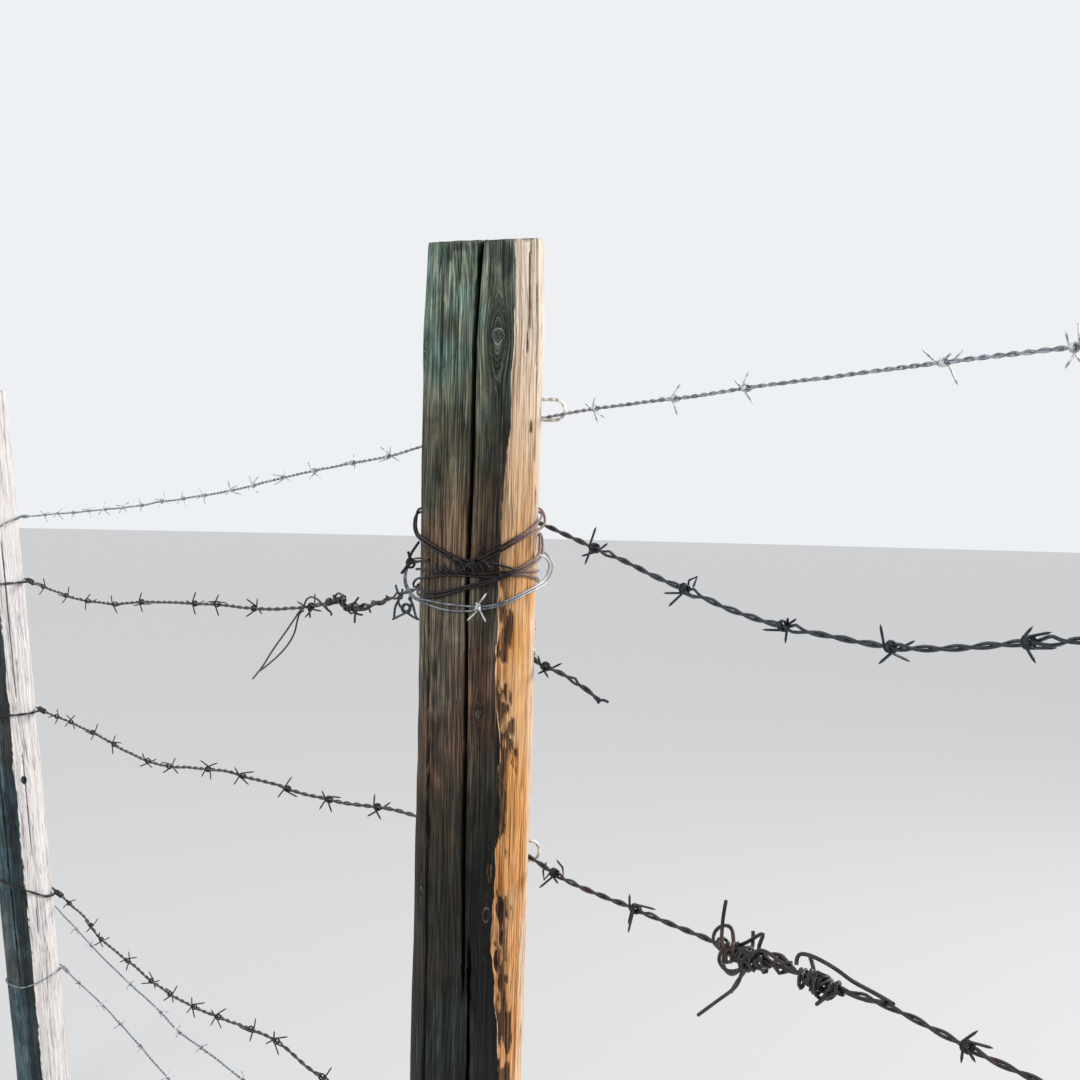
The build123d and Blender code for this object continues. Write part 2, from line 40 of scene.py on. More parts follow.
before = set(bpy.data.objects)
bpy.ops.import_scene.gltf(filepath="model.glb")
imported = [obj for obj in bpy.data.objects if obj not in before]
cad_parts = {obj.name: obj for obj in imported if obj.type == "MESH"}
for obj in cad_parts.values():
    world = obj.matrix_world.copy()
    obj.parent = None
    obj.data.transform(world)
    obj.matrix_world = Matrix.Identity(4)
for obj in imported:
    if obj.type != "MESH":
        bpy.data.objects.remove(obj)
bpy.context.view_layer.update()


# Posts: their place, lean and girth

def at_height(pairs, z):
    """What (height, value) pairs give at each height."""
    heights, values = zip(*sorted(pairs))
    return np.interp(z, heights, values)


class Post:
    """A round post of the fence: its place, lean, and width at rising heights, in metres."""

    def __init__(self, x, lean_back, lean_side, height, widths, cut_deg, cut_towards):
        self.x = x
        self.lean = (-math.tan(math.radians(lean_back)), -math.tan(math.radians(lean_side)))
        self.height = height
        self.widths = widths
        self.cut = math.tan(math.radians(cut_deg))
        self.cut_towards = math.radians(cut_towards)

    def radius(self, z):
        return at_height(self.widths, z) / 2

    def reach(self, turn, z, out):
        """Distance from the axis to a point that far out from the bark."""
        across = np.cos(turn) * self.lean[0] + np.sin(turn) * self.lean[1]
        return (self.radius(z) + out) * np.sqrt(1 + across ** 2)

    def beside(self, degrees, z, out):
        """Points out from the bark, at angles counted from +X towards +Y."""
        turn = np.radians(degrees)
        far = self.reach(turn, z, out)
        return np.stack([self.x + self.lean[0] * z + np.cos(turn) * far,
                         self.lean[1] * z + np.sin(turn) * far, z + 0 * far], -1)


MAIN = Post(0, 0, 0, 1.4, ((0, 0.097), (1.01, 0.1035), (1.315, 0.108), (1.4, 0.1045)), 8.4, -50)
FAR = Post(-2, 2.8, 5.8, 1.358, ((0, 0.097), (0.968, 0.102), (1.358, 0.102)), 4.2, 150)
NEAR = Post(2, 0, 0, 1.39, ((0, 0.097), (1.0, 0.1035), (1.39, 0.1045)), 4.2, -60)

# A drying crack follows (height, degrees) points. Its depth and its width, one number or
# (height, width) pairs, are in millimetres
Split = namedtuple("Split", "path across deep")
# A knot's, or a stain's, degrees, height, half width and half height, the last two in millimetres
Knot = namedtuple("Knot", "degrees z wide tall")
# A torn hollow, given the same way, with its depth
Hollow = namedtuple("Hollow", "degrees z wide tall deep")


# Settings

def colour(name, description, default):
    return FloatVectorProperty(name=name, description=description, subtype="COLOR",
                               default=default, min=0, max=1)


def length(name, description, default, least):
    return FloatProperty(name=name, description=description, default=default, min=least,
                         unit="LENGTH")


class PostSettings(bpy.types.PropertyGroup):
    columns: IntProperty(name="Columns", description="Faces round a post", default=216, min=24)
    row_height: length("Row height", "Height of a row of faces", 0.0038, 0.001)
    ridge_depth: length("Grain depth", "Depth of the weathered grain", 0.0009, 0)
    skin_depth: length("Skin depth", "How far the peeled side lies below the skin", 0.0026, 0)
    # The grey side's colours are its weathered grey, green at the head, with painted shade: the side is
    # painted dark, darkest towards the foot
    shaded_grey_head: colour("Grey, head", "Light grain of the grey side at the head", (0.37, 0.55, 0.475))
    shaded_grey_shoulder: colour("Grey, shoulder", "The same where the top wire passes", (0.21, 0.19, 0.13))
    shaded_grey_middle: colour("Grey, middle", "The same under the ties", (0.45, 0.295, 0.215))
    shaded_grey_lower: colour("Grey, lower", "The same by the third wire", (0.070, 0.062, 0.044))
    shaded_grey_foot: colour("Grey, foot", "The same towards the ground", (0.047, 0.051, 0.043))
    # The honey side's colours are the peeled wood's own honey with painted sunlight laid over it, palest at
    # the head
    sunlit_honey_head: colour("Honey, head", "Light grain of the peeled side at the head", (0.95, 0.83, 0.70))
    sunlit_honey_shoulder: colour("Honey, shoulder", "The same where the top wire passes", (0.95, 0.62, 0.36))
    sunlit_honey_middle: colour("Honey, middle", "The same under the ties", (0.93, 0.46, 0.14))
    sunlit_honey_foot: colour("Honey, foot", "The same towards the ground", (0.98, 0.50, 0.19))
    # The far post's two sides are a sunlit and a shaded copy of its bleached timber: painted sunlight and
    # painted shade
    bleached_sunlit_side: colour("Bleached side", "Light grain of the far post's peeled side", (0.92, 0.89, 0.89))
    bleached_shaded_side: colour("Bleached post's shade", "Light grain of its other side", (0.17, 0.225, 0.245))


class WireSettings(bpy.types.PropertyGroup):
    old_strand: length("Old strand", "Thickness of a strand of the old wire", 0.0025, 0.0005)
    new_strand: length("Galvanized strand", "Thickness of a galvanized strand", 0.0017, 0.0005)
    old_lay: length("Old lay", "Length of one full twist of the old wire", 0.056, 0.01)
    new_lay: length("Galvanized lay", "Length of one full twist of the galvanized wire", 0.027, 0.01)
    old_reach: length("Old barb reach", "Length of the old wire's points", 0.0165, 0.004)
    new_reach: length("Galvanized barb reach", "Length of the galvanized wire's points", 0.0135, 0.004)
    zinc: colour("Zinc", "Colour of the galvanized wire", (0.25, 0.275, 0.31))
    # The galvanized barbs' colour is the zinc made paler: a painted glint
    glinting_zinc_barb: colour("Galvanized barbs", "Colour of the galvanized wire's barbs", (0.50, 0.50, 0.51))
    dark_steel: colour("Dark steel", "Colour of the old wire", (0.021, 0.029, 0.038))
    brown_steel: colour("Brown steel", "Colour of the old wire that has rusted", (0.022, 0.018, 0.019))
    tie_steel: colour("Tie steel", "Colour of the wire wound round the main post", (0.014, 0.010, 0.013))
    staple_steel: colour("Staple steel", "Colour of the staples", (0.72, 0.68, 0.61))
    rust: colour("Rust", "Colour of the rust", (0.085, 0.038, 0.025))


class StageSettings(bpy.types.PropertyGroup):
    floor_colour: colour("Floor", "Colour of the floor", (0.56, 0.55, 0.54))
    floor_glow: FloatProperty(name="Floor glow", default=0.42, min=0, max=1,
                              description="How far the seen floor pales towards the background")
    room: FloatProperty(name="Room light", description="Strength of the even light", default=0.72, min=0)
    key: FloatProperty(name="Key light", description="Power of the large soft lamp", default=300, min=0,
                       unit="POWER")
    fill: FloatProperty(name="Fill light", description="Power of the lamp near the camera", default=70,
                        min=0, unit="POWER")
    lens: FloatProperty(name="Lens", description="Focal length", default=59.4, min=10, unit="CAMERA")


# Small tools

def select_none():
    """Leave edit mode and select nothing."""
    if bpy.context.object and bpy.context.object.mode == "EDIT":
        bpy.ops.object.mode_set(mode="OBJECT")
    bpy.ops.object.select_all(action="DESELECT")


def finish_piece(piece, name, nodes, material):
    """Name a piece, give it its finish, and let it stand for its CAD nodes."""
    piece.name = name
    piece.data.name = name
    piece.data.materials.clear()
    piece.data.materials.append(material)
    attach(piece, "root")
    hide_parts(*nodes)


def smooth_line(points, pieces=8):
    """A smooth line near the points, read from a curve that has them as control points."""
    curve = bpy.data.curves.new("line", "CURVE")
    curve.dimensions = "3D"
    spline = curve.splines.new("NURBS")
    spline.points.add(len(points) - 1)
    for control, spot in zip(spline.points, points):
        control.co = (*spot, 1)
    spline.order_u = 3
    spline.use_endpoint_u = True
    spline.resolution_u = pieces
    holder = bpy.data.objects.new("line", curve)
    bpy.context.scene.collection.objects.link(holder)
    mesh = bpy.data.meshes.new_from_object(holder)
    line = np.empty(len(mesh.vertices) * 3)
    mesh.vertices.foreach_get("co", line)
    bpy.data.objects.remove(holder)
    bpy.data.curves.remove(curve)
    bpy.data.meshes.remove(mesh)
    return line.reshape(-1, 3)


def distances(line):
    """How far along a line each of its points lies."""
    return np.concatenate([[0], np.cumsum(np.linalg.norm(np.diff(line, axis=0), axis=1))])


def evenly(line, step):
    """The same line with its points a step apart."""
    along = distances(line)
    count = max(2, int(round(along[-1] / step)) + 1)
    even = np.linspace(0, along[-1], count)
    return np.stack([np.interp(even, along, line[:, axis]) for axis in range(3)], -1)


def unit(rows):
    return rows / np.linalg.norm(rows, axis=-1, keepdims=True)


def square_to(line):
    """The way a line runs at each point, and two directions square to it: level and up."""
    ahead = unit(np.gradient(line, axis=0))
    level = unit(np.cross((0, 0, 1), ahead))
    return ahead, level, np.cross(ahead, level)


def rods(name, lines, sides=6):
    """One mesh of round rods with closed ends. A line is its points and its radius, or radii."""
    curve = bpy.data.curves.new(name, "CURVE")
    curve.dimensions = "3D"
    curve.bevel_depth = 1
    curve.bevel_resolution = max(0, (sides - 4) // 2)
    curve.use_fill_caps = True
    for points, radius in lines:
        spline = curve.splines.new("POLY")
        spline.points.add(len(points) - 1)
        flat = np.ones((len(points), 4))
        flat[:, :3] = points
        spline.points.foreach_set("co", flat.ravel())
        spline.points.foreach_set("radius", np.broadcast_to(radius, len(points)).astype(float).copy())
        spline.use_smooth = True
    piece = bpy.data.objects.new(name, curve)
    bpy.context.scene.collection.objects.link(piece)
    select_none()
    piece.select_set(True)
    bpy.context.view_layer.objects.active = piece
    bpy.ops.object.convert(target="MESH")
    piece = bpy.context.object
    bpy.ops.object.shade_smooth_by_angle(angle=math.radians(50))
    return piece


def eased(share):
    """A share from 0 to 1 that starts and ends softly."""
    return share * share * (3 - 2 * share)


def between(low, high, value):
    """0 below low, 1 above high, and a soft rise between."""
    return eased(np.clip((value - low) / (high - low), 0, 1))


def ripple(around, along, cells, pitch, seed):
    """Smooth chance waves from -1 to 1: that many cells round a post, and one each pitch up it."""
    rows, first_row = 512, 60
    lattice = np.random.RandomState(seed).uniform(-1, 1, (cells, rows))
    u = around / (2 * math.pi) * cells
    v = along / pitch + first_row
    i = np.floor(u).astype(int)
    j = np.floor(v).astype(int)
    s, t = eased(u - i), eased(v - j)
    low = lattice[i % cells, j % rows] * (1 - s) + lattice[(i + 1) % cells, j % rows] * s
    high = lattice[i % cells, (j + 1) % rows] * (1 - s) + lattice[(i + 1) % cells, (j + 1) % rows] * s
    return low * (1 - t) + high * t


def wave(along, pitch, seed):
    """Smooth chance waves along a line."""
    return ripple(along * 0, along, 3, pitch, seed)


def turned(angle):
    """An angle as it is between half a turn each way."""
    return (angle + math.pi) % (2 * math.pi) - math.pi


# Materials

def put(tree, kind, inputs=None, **settings):
    """Add a node. Each input is a value, or the socket that feeds it."""
    made = tree.nodes.new(kind)
    for name, value in settings.items():
        setattr(made, name, value)
    for name, value in (inputs or {}).items():
        socket = made.inputs[name]
        if isinstance(value, bpy.types.NodeSocket):
            tree.links.new(value, socket)
        else:
            socket.default_value = value
    return made


def maths(tree, operation, first, second=0.0, third=0.0):
    return put(tree, "ShaderNodeMath", {0: first, 1: second, 2: third}, operation=operation).outputs[0]


def spread(tree, value, low, high, to_low=0.0, to_high=1.0):
    """Stretch a value from one range to another, held at the ends."""
    return put(tree, "ShaderNodeMapRange", {"Value": value, "From Min": low, "From Max": high,
                                            "To Min": to_low, "To Max": to_high}).outputs["Result"]


def blend(tree, share, first, second, mode="MIX"):
    """Mix two colours."""
    first, second = (value if isinstance(value, bpy.types.NodeSocket) else (*value, 1)
                     for value in (first, second))
    return put(tree, "ShaderNodeMix", {0: share, 6: first, 7: second}, data_type="RGBA",
               blend_type=mode).outputs[2]


def noise(tree, place, scale, detail, roughness=0.5):
    return put(tree, "ShaderNodeTexNoise", {"Vector": place, "Scale": scale, "Detail": detail,
                                            "Roughness": roughness}).outputs["Fac"]


def stretched(tree, place, by, shift=(0, 0, 0)):
    """A place with each of its three numbers made larger or smaller, and moved."""
    return put(tree, "ShaderNodeVectorMath", {0: place, 1: by, 2: shift}, operation="MULTIPLY_ADD").outputs[0]


def scaled(tree, tint, share):
    """A colour made darker or lighter by a value."""
    return put(tree, "ShaderNodeVectorMath", {0: tint, "Scale": share}, operation="SCALE").outputs[0]


def shade(tint, share, most=1):
    """The same for a fixed colour."""
    return tuple(min(most, part * share) for part in tint)


def ramp(tree, value, stops):
    """A colour ramp through (place, colour) stops."""
    made = put(tree, "ShaderNodeValToRGB", {"Fac": value})
    steps = made.color_ramp.elements
    while len(steps) < len(stops):
        steps.new(1)
    while len(steps) > len(stops):
        steps.remove(steps[-1])
    for step, (place, tint) in zip(steps, stops):
        step.position = place
        step.color = (*tint, 1)
    return made.outputs["Color"]


def new_group(name, inputs, outputs):
    """A shader node group with named sockets, as (group, its input node, its output node)."""
    group = bpy.data.node_groups.new(name, "ShaderNodeTree")
    for label, kind, default in inputs:
        socket = group.interface.new_socket(name=label, in_out="INPUT", socket_type=kind)
        if default is not None:
            socket.default_value = default
    for label, kind in outputs:
        group.interface.new_socket(name=label, in_out="OUTPUT", socket_type=kind)
    return group, group.nodes.new("NodeGroupInput"), group.nodes.new("NodeGroupOutput")


def grain_group():
    """Long streaks of grain, the nested lines that rings draw, and fine dark checks."""
    group, given, out = new_group(
        "Timber grain",
        (("Place", "NodeSocketVector", None), ("Across", "NodeSocketFloat", 300.0),
         ("Along", "NodeSocketFloat", 8.0), ("Contrast", "NodeSocketFloat", 0.2)),
        (("Streaks", "NodeSocketFloat"), ("Figure", "NodeSocketFloat"), ("Checks", "NodeSocketFloat")))
    scale = put(group, "ShaderNodeCombineXYZ", {"X": given.outputs["Across"], "Y": given.outputs["Across"],
                                                "Z": given.outputs["Along"]})
    place = stretched(group, given.outputs["Place"], scale.outputs[0])
    low = maths(group, "SUBTRACT", 0.5, given.outputs["Contrast"])
    high = maths(group, "ADD", 0.5, given.outputs["Contrast"])
    group.links.new(spread(group, noise(group, place, 1.0, 3.0, 0.6), low, high), out.inputs["Streaks"])
    wide = stretched(group, place, (0.06, 0.06, 0.35))
    waves = maths(group, "SINE", maths(group, "MULTIPLY", noise(group, wide, 1.0, 1.0), 210.0))
    group.links.new(spread(group, waves, -1.0, 1.0), out.inputs["Figure"])
    contour = noise(group, stretched(group, place, (0.45, 0.45, 1.5), (7.0, 3.0, 5.0)), 1.0, 2.0)
    off = maths(group, "ABSOLUTE", maths(group, "SUBTRACT", contour, 0.5))
    parts = spread(group, noise(group, wide, 3.0, 2.0), 0.40, 0.56)
    lines = maths(group, "MULTIPLY", spread(group, off, 0.010, 0.040, 1.0, 0.0), parts)
    group.links.new(lines, out.inputs["Checks"])
    return group


def patches_group():
    """Blotches of two sizes, for rust, damp and dirt."""
    group, given, out = new_group(
        "Patches",
        (("Place", "NodeSocketVector", None), ("Size", "NodeSocketFloat", 60.0),
         ("Amount", "NodeSocketFloat", 0.5)),
        (("Mask", "NodeSocketFloat"), ("Specks", "NodeSocketFloat")))
    broad = noise(group, given.outputs["Place"], given.outputs["Size"], 4.0, 0.65)
    edge = maths(group, "SUBTRACT", 1.0, given.outputs["Amount"])
    low = maths(group, "MULTIPLY_ADD", edge, 0.6, 0.14)
    high = maths(group, "ADD", low, 0.12)
    group.links.new(spread(group, broad, low, high), out.inputs["Mask"])
    finer = maths(group, "MULTIPLY", given.outputs["Size"], 12.0)
    specks = noise(group, given.outputs["Place"], finer, 2.0)
    group.links.new(spread(group, specks, 0.35, 0.65), out.inputs["Specks"])
    return group


def place_group(tree, group, inputs):
    return put(tree, "ShaderNodeGroup", inputs, node_tree=group).outputs


def new_material(name):
    """A material with its tree and its Principled shader."""
    made = bpy.data.materials.new(name)
    made.use_nodes = True
    return made, made.node_tree, made.node_tree.nodes["Principled BSDF"]


def attribute(tree, name, output="Fac"):
    return put(tree, "ShaderNodeAttribute", attribute_name=name).outputs[output]


# What the grain's streaks multiply a timber's colour by, as (tone, colour) stops
GREY_GRAIN = ((0.14, (0.10, 0.125, 0.14)), (0.48, (0.36, 0.365, 0.35)), (0.86, (1, 0.97, 0.9)))
SOFT_GRAIN = ((0.14, (0.38, 0.40, 0.42)), (0.86, (1, 1, 1)))
HONEY_GRAIN = ((0.14, (0.26, 0.15, 0.09)), (0.40, (0.72, 0.63, 0.54)), (0.76, (1, 1, 1)))
BLEACHED_GRAIN = ((0.14, (0.66, 0.60, 0.57)), (0.44, (0.94, 0.92, 0.91)), (0.76, (1, 1, 1)))


def timber_material(name, grain, patches, grey, honey, grey_grain, honey_grain, hollow):
    """Weathered timber: a weathered grey skin with painted shade, a peeled honey side with painted sunlight,
    knots, cracks and sawn ends.

    grey and honey are the light grain of the two sides as (height, colour) stops, with painted shade
    in grey and painted sunlight in honey. Each grain is what darkens it from dark to light streaks,
    and hollow is the colour of torn places, painted shade where it is darkest.
    """
    material, tree, shader = new_material(name)
    place = attribute(tree, "grain", "Vector")
    flat = put(tree, "ShaderNodeTexCoord").outputs["Object"]
    height = put(tree, "ShaderNodeSeparateXYZ", {0: flat}).outputs["Z"]
    up = maths(tree, "DIVIDE", height, MAIN.height)
    broad = place_group(tree, grain, {"Place": place, "Across": 430.0, "Along": 5.0, "Contrast": 0.12})
    fine = place_group(tree, grain, {"Place": place, "Across": 1150.0, "Along": 13.0, "Contrast": 0.08})
    damp = place_group(tree, patches, {"Place": place, "Size": 20.0, "Amount": 0.5})
    mottle = place_group(tree, patches, {"Place": flat, "Size": 55.0, "Amount": 0.5})
    drift = place_group(tree, patches, {"Place": place, "Size": 8.0, "Amount": 0.5})["Mask"]

    tone = maths(tree, "MULTIPLY_ADD", broad["Figure"], 0.20, maths(tree, "MULTIPLY", broad["Streaks"], 0.34))
    tone = maths(tree, "MULTIPLY_ADD", fine["Streaks"], 0.44, tone)
    arches = maths(tree, "SINE", maths(tree, "MULTIPLY_ADD", attribute(tree, "arch"), 1.15,
                                       maths(tree, "MULTIPLY", mottle["Specks"], 1.4)))
    tone = maths(tree, "MULTIPLY_ADD", arches, maths(tree, "MULTIPLY", attribute(tree, "arched"), 0.36), tone)
    checked = maths(tree, "MAXIMUM", maths(tree, "MULTIPLY", broad["Checks"], 0.95),
                    maths(tree, "MULTIPLY", fine["Checks"], 0.55))
    # The grey side by height, with its painted shade
    light_grey = ramp(tree, up, [(z / MAIN.height, tint) for z, tint in grey])
    shaded = blend(tree, 1.0, light_grey, ramp(tree, tone, grey_grain), mode="MULTIPLY")
    worn = maths(tree, "MULTIPLY", spread(tree, damp["Mask"], 0.0, 1.0, 0.68, 1.14),
                 spread(tree, checked, 0.0, 1.0, 1.0, 0.16))
    # Darker beside the peeled side's first edge, as painted shade, and at stains in spots
    worn = maths(tree, "MULTIPLY", worn, spread(tree, attribute(tree, "stain_and_shade"), 0.0, 1.3, 1.0, 0.32))
    shaded = blend(tree, 1.0, shaded, ramp(tree, drift, ((0, (0.84, 1.02, 1.04)), (1, (1.20, 0.98, 0.88)))),
                   mode="MULTIPLY")
    shaded = scaled(tree, shaded, worn)

    # The peeled side by height, with its painted sunlight
    light_honey = ramp(tree, up, [(z / MAIN.height, tint) for z, tint in honey])
    bare_and_sunlit = blend(tree, 1.0, light_honey, ramp(tree, tone, honey_grain), mode="MULTIPLY")
    bare_and_sunlit = blend(tree, maths(tree, "MULTIPLY", drift, 0.30), bare_and_sunlit,
                 blend(tree, 0.55, light_honey, (1, 0.84, 0.62)))
    # The paler strip of the peeled side: painted sunlight
    bare_and_sunlit = blend(tree, maths(tree, "MULTIPLY", attribute(tree, "pale"), 0.62), bare_and_sunlit,
                 blend(tree, 0.72, light_honey, (1, 0.87, 0.72)))
    bare_and_sunlit = scaled(tree, bare_and_sunlit, spread(tree, checked, 0.0, 1.0, 1.0, 0.35))

    # The painted shade of the grey side gives way to the painted sunlight of the peeled side
    ragged = maths(tree, "MULTIPLY_ADD", fine["Streaks"], 0.5, -0.25)
    peeled = spread(tree, maths(tree, "ADD", attribute(tree, "peel_and_sunlit"), ragged), 0.35, 0.65)
    timber = blend(tree, peeled, shaded, bare_and_sunlit)
    # Torn places and hollows: painted shade, darkest where the grain is dark
    torn = maths(tree, "MULTIPLY_ADD", fine["Streaks"], 0.7,
                 maths(tree, "ADD", attribute(tree, "hollow"), -0.35))
    timber = blend(tree, spread(tree, torn, 0.42, 0.60, 0.0, 0.94), timber,
                   blend(tree, spread(tree, tone, 0.3, 0.8), shade(hollow, 0.12), shade(hollow, 2.6, 0.9)))
    # Painted highlight along the torn edge
    edge_highlight = maths(tree, "MULTIPLY_ADD", fine["Streaks"], 0.5,
                   maths(tree, "ADD", attribute(tree, "edge"), -0.25))
    timber = blend(tree, spread(tree, edge_highlight, 0.40, 0.62, 0.0, 0.85), timber,
                   blend(tree, 0.4, light_honey, (1, 0.86, 0.66)))

    knot = maths(tree, "ADD", attribute(tree, "knot"),
                 maths(tree, "MULTIPLY_ADD", mottle["Specks"], 0.16, -0.08))
    core = scaled(tree, light_grey, spread(tree, mottle["Specks"], 0.2, 1.0, 0.04, 0.30))
    rim = maths(tree, "MULTIPLY", spread(tree, knot, 0.46, 0.55),
                spread(tree, fine["Streaks"], 0.0, 1.0, 0.2, 0.8))
    timber = blend(tree, rim, timber, blend(tree, 0.55, light_grey, (0.40, 0.38, 0.32)))
    timber = blend(tree, spread(tree, knot, 0.58, 0.70), timber, core)

    lines = maths(tree, "SINE", maths(tree, "MULTIPLY_ADD", attribute(tree, "rings"), 1900.0,
                                      maths(tree, "MULTIPLY", damp["Specks"], 1.2)))
    sawn = blend(tree, spread(tree, damp["Specks"], 0.3, 0.8, 0.05, 0.28), (0.26, 0.235, 0.20), light_grey)
    sawn = scaled(tree, sawn, spread(tree, lines, -1.0, 1.0, 0.55, 0.95))
    timber = blend(tree, attribute(tree, "sawn"), timber, sawn)
    # Painted shade: the cracks and the checks across the head are near black inside
    timber = blend(tree, attribute(tree, "split"), timber, (0.008, 0.009, 0.010))
    tree.links.new(timber, shader.inputs["Base Color"])
    tree.links.new(spread(tree, tone, 0.2, 0.9, 0.92, 0.70), shader.inputs["Roughness"])
    shader.inputs["Specular IOR Level"].default_value = 0.3
    relief = maths(tree, "MULTIPLY_ADD", fine["Streaks"], 0.6, broad["Streaks"])
    relief = maths(tree, "SUBTRACT", relief, checked)
    bump = put(tree, "ShaderNodeBump", {"Strength": 0.8, "Distance": 0.0008, "Height": relief})
    tree.links.new(bump.outputs[0], shader.inputs["Normal"])
    return material


def wire_material(name, patches, metal, rust, amount, roughness, metallic, sunlit_tint=None, shine=0.5):
    """Drawn wire: dull metal with patches of rust and fine pits, and painted sunlight paling the side towards
    +Y.
    """
    material, tree, shader = new_material(name)
    place = put(tree, "ShaderNodeTexCoord").outputs["Object"]
    broad = place_group(tree, patches, {"Place": place, "Size": 38.0, "Amount": amount})
    mottle = place_group(tree, patches, {"Place": place, "Size": 190.0, "Amount": 0.5})
    steel = blend(tree, mottle["Mask"], shade(metal, 0.6), shade(metal, 1.45))
    rusty = blend(tree, mottle["Specks"], shade(rust, 0.55), shade(rust, 1.5))
    worn = maths(tree, "MULTIPLY", broad["Mask"], spread(tree, mottle["Mask"], 0.0, 1.0, 1.0, 0.6))
    steel = blend(tree, worn, steel, rusty)
    # Painted sunlight: paler towards +Y, the side that faces the key lamp
    if sunlit_tint:
        aside = put(tree, "ShaderNodeSeparateXYZ", {0: place}).outputs["Y"]
        sunlit_share = maths(tree, "MULTIPLY", spread(tree, aside, 0.004, 0.048),
                    spread(tree, mottle["Specks"], 0.3, 0.7, 0.45, 0.95))
        steel = blend(tree, sunlit_share, steel, sunlit_tint)
    tree.links.new(steel, shader.inputs["Base Color"])
    shader.inputs["Specular IOR Level"].default_value = shine
    tree.links.new(spread(tree, worn, 0.0, 1.0, roughness, 0.8), shader.inputs["Roughness"])
    tree.links.new(spread(tree, worn, 0.0, 1.0, metallic, 0.15), shader.inputs["Metallic"])
    bump = put(tree, "ShaderNodeBump", {"Strength": 0.35, "Distance": 0.0003, "Height": mottle["Specks"]})
    tree.links.new(bump.outputs[0], shader.inputs["Normal"])
    return material


# Every finish by name
FINISH = {}


def make_materials():
    """Build every finish of the fence once."""
    posts = bpy.context.scene.fence_posts
    wires = bpy.context.scene.fence_wires
    grain = grain_group()
    patches = patches_group()
    # The grey stops carry painted shade and the honey stops painted sunlight
    grey = ((0.70, posts.shaded_grey_foot), (0.89, posts.shaded_grey_lower), (1.03, posts.shaded_grey_middle),
            (1.19, posts.shaded_grey_shoulder), (1.37, posts.shaded_grey_head))
    honey = ((0.70, posts.sunlit_honey_foot), (1.03, posts.sunlit_honey_middle), (1.19, posts.sunlit_honey_shoulder),
             (1.33, posts.sunlit_honey_head))
    rust, hoop = wires.rust, shade(wires.zinc, 0.66)
    FINISH.update({
        # The last colour of each timber paints shade into its torn places
        "timber": timber_material("Weathered timber", grain, patches, grey, honey, GREY_GRAIN, HONEY_GRAIN,
                                  (0.085, 0.042, 0.020)),
        # The far post: painted shade on its grey side, painted sunlight on its peeled side
        "bleached": timber_material("Bleached timber", grain, patches, ((0.7, posts.bleached_shaded_side),),
                                    ((0.7, posts.bleached_sunlit_side),), SOFT_GRAIN, BLEACHED_GRAIN,
                                    (0.46, 0.42, 0.40)),
        "zinc": wire_material("Galvanized wire", patches, wires.zinc, rust, 0.16, 0.36, 0.6),
        # The barbs' paler colour is a painted glint
        "glinting_zinc_barb": wire_material("Galvanized barbs", patches, wires.glinting_zinc_barb, rust, 0.12, 0.4, 0.4),
        "old": wire_material("Old dark wire", patches, wires.dark_steel, rust, 0.2, 0.26, 0.3, shine=0.35),
        "rusty": wire_material("Old rusty wire", patches, wires.brown_steel, rust, 0.31, 0.28, 0.2, shine=0.4),
        # The tie and the hoop are paler on their +Y side: painted sunlight
        "tie": wire_material("Brown tie wire", patches, wires.tie_steel, rust, 0.22, 0.25, 0.05,
                             (0.44, 0.31, 0.28), 0.25),
        "hoop": wire_material("Galvanized hoop", patches, hoop, rust, 0.16, 0.34, 0.6, (0.62, 0.62, 0.64)),
        "staple": wire_material("Staple wire", patches, wires.staple_steel, rust, 0.14, 0.36, 0.4),
    })


# Posts

# Rings of faces across a post's head and foot, as shares of its radius
HEAD_RINGS = (0.985, 0.9, 0.78, 0.64, 0.48, 0.32, 0.16)
FOOT_RINGS = (0.6, 0.2)


def blank_post(columns, rows):
    """A tube of one metre in radius and height, with rings of faces closing its head and foot."""
    select_none()
    bpy.ops.mesh.primitive_circle_add(vertices=columns, radius=1, fill_type="NOTHING")
    post = bpy.context.object
    rise = post.modifiers.new("rise", "SCREW")
    rise.angle = 0
    rise.screw_offset = 1
    rise.steps = rows
    rise.render_steps = rows
    bpy.ops.object.modifier_apply(modifier="rise")
    for level, rings in ((1, HEAD_RINGS), (0, FOOT_RINGS)):
        for vertex in post.data.vertices:
            vertex.select = abs(vertex.co.z - level) < 1e-5
        bpy.ops.object.mode_set(mode="EDIT")
        bpy.ops.mesh.select_mode(type="VERT")
        before = 1
        for share in rings:
            bpy.ops.mesh.extrude_edges_move()
            bpy.ops.transform.resize(value=(share / before, share / before, 1), center_override=(0, 0, level))
            before = share
        bpy.ops.mesh.extrude_edges_move()
        bpy.ops.mesh.merge(type="CENTER")
        bpy.ops.object.mode_set(mode="OBJECT")
        for vertex in post.data.vertices:
            vertex.select = False
    bpy.ops.object.mode_set(mode="EDIT")
    bpy.ops.mesh.select_all(action="SELECT")
    bpy.ops.mesh.normals_make_consistent(inside=False)
    bpy.ops.object.mode_set(mode="OBJECT")
    return post


def path_at(path, z):
    """The angle of a (height, degrees) path at each height, in radians."""
    return np.radians(at_height(path, z))


def path_end_fade(path, z, over=0.05):
    """1 along a path's heights, fading to 0 at ends that aren't the post's own."""
    low, high = min(path)[0], max(path)[0]
    fade = np.ones_like(z)
    if low > 0.01:
        fade = fade * between(low, low + over, z)
    if high < 1.33:
        fade = fade * (1 - between(high - over, high, z))
    return fade


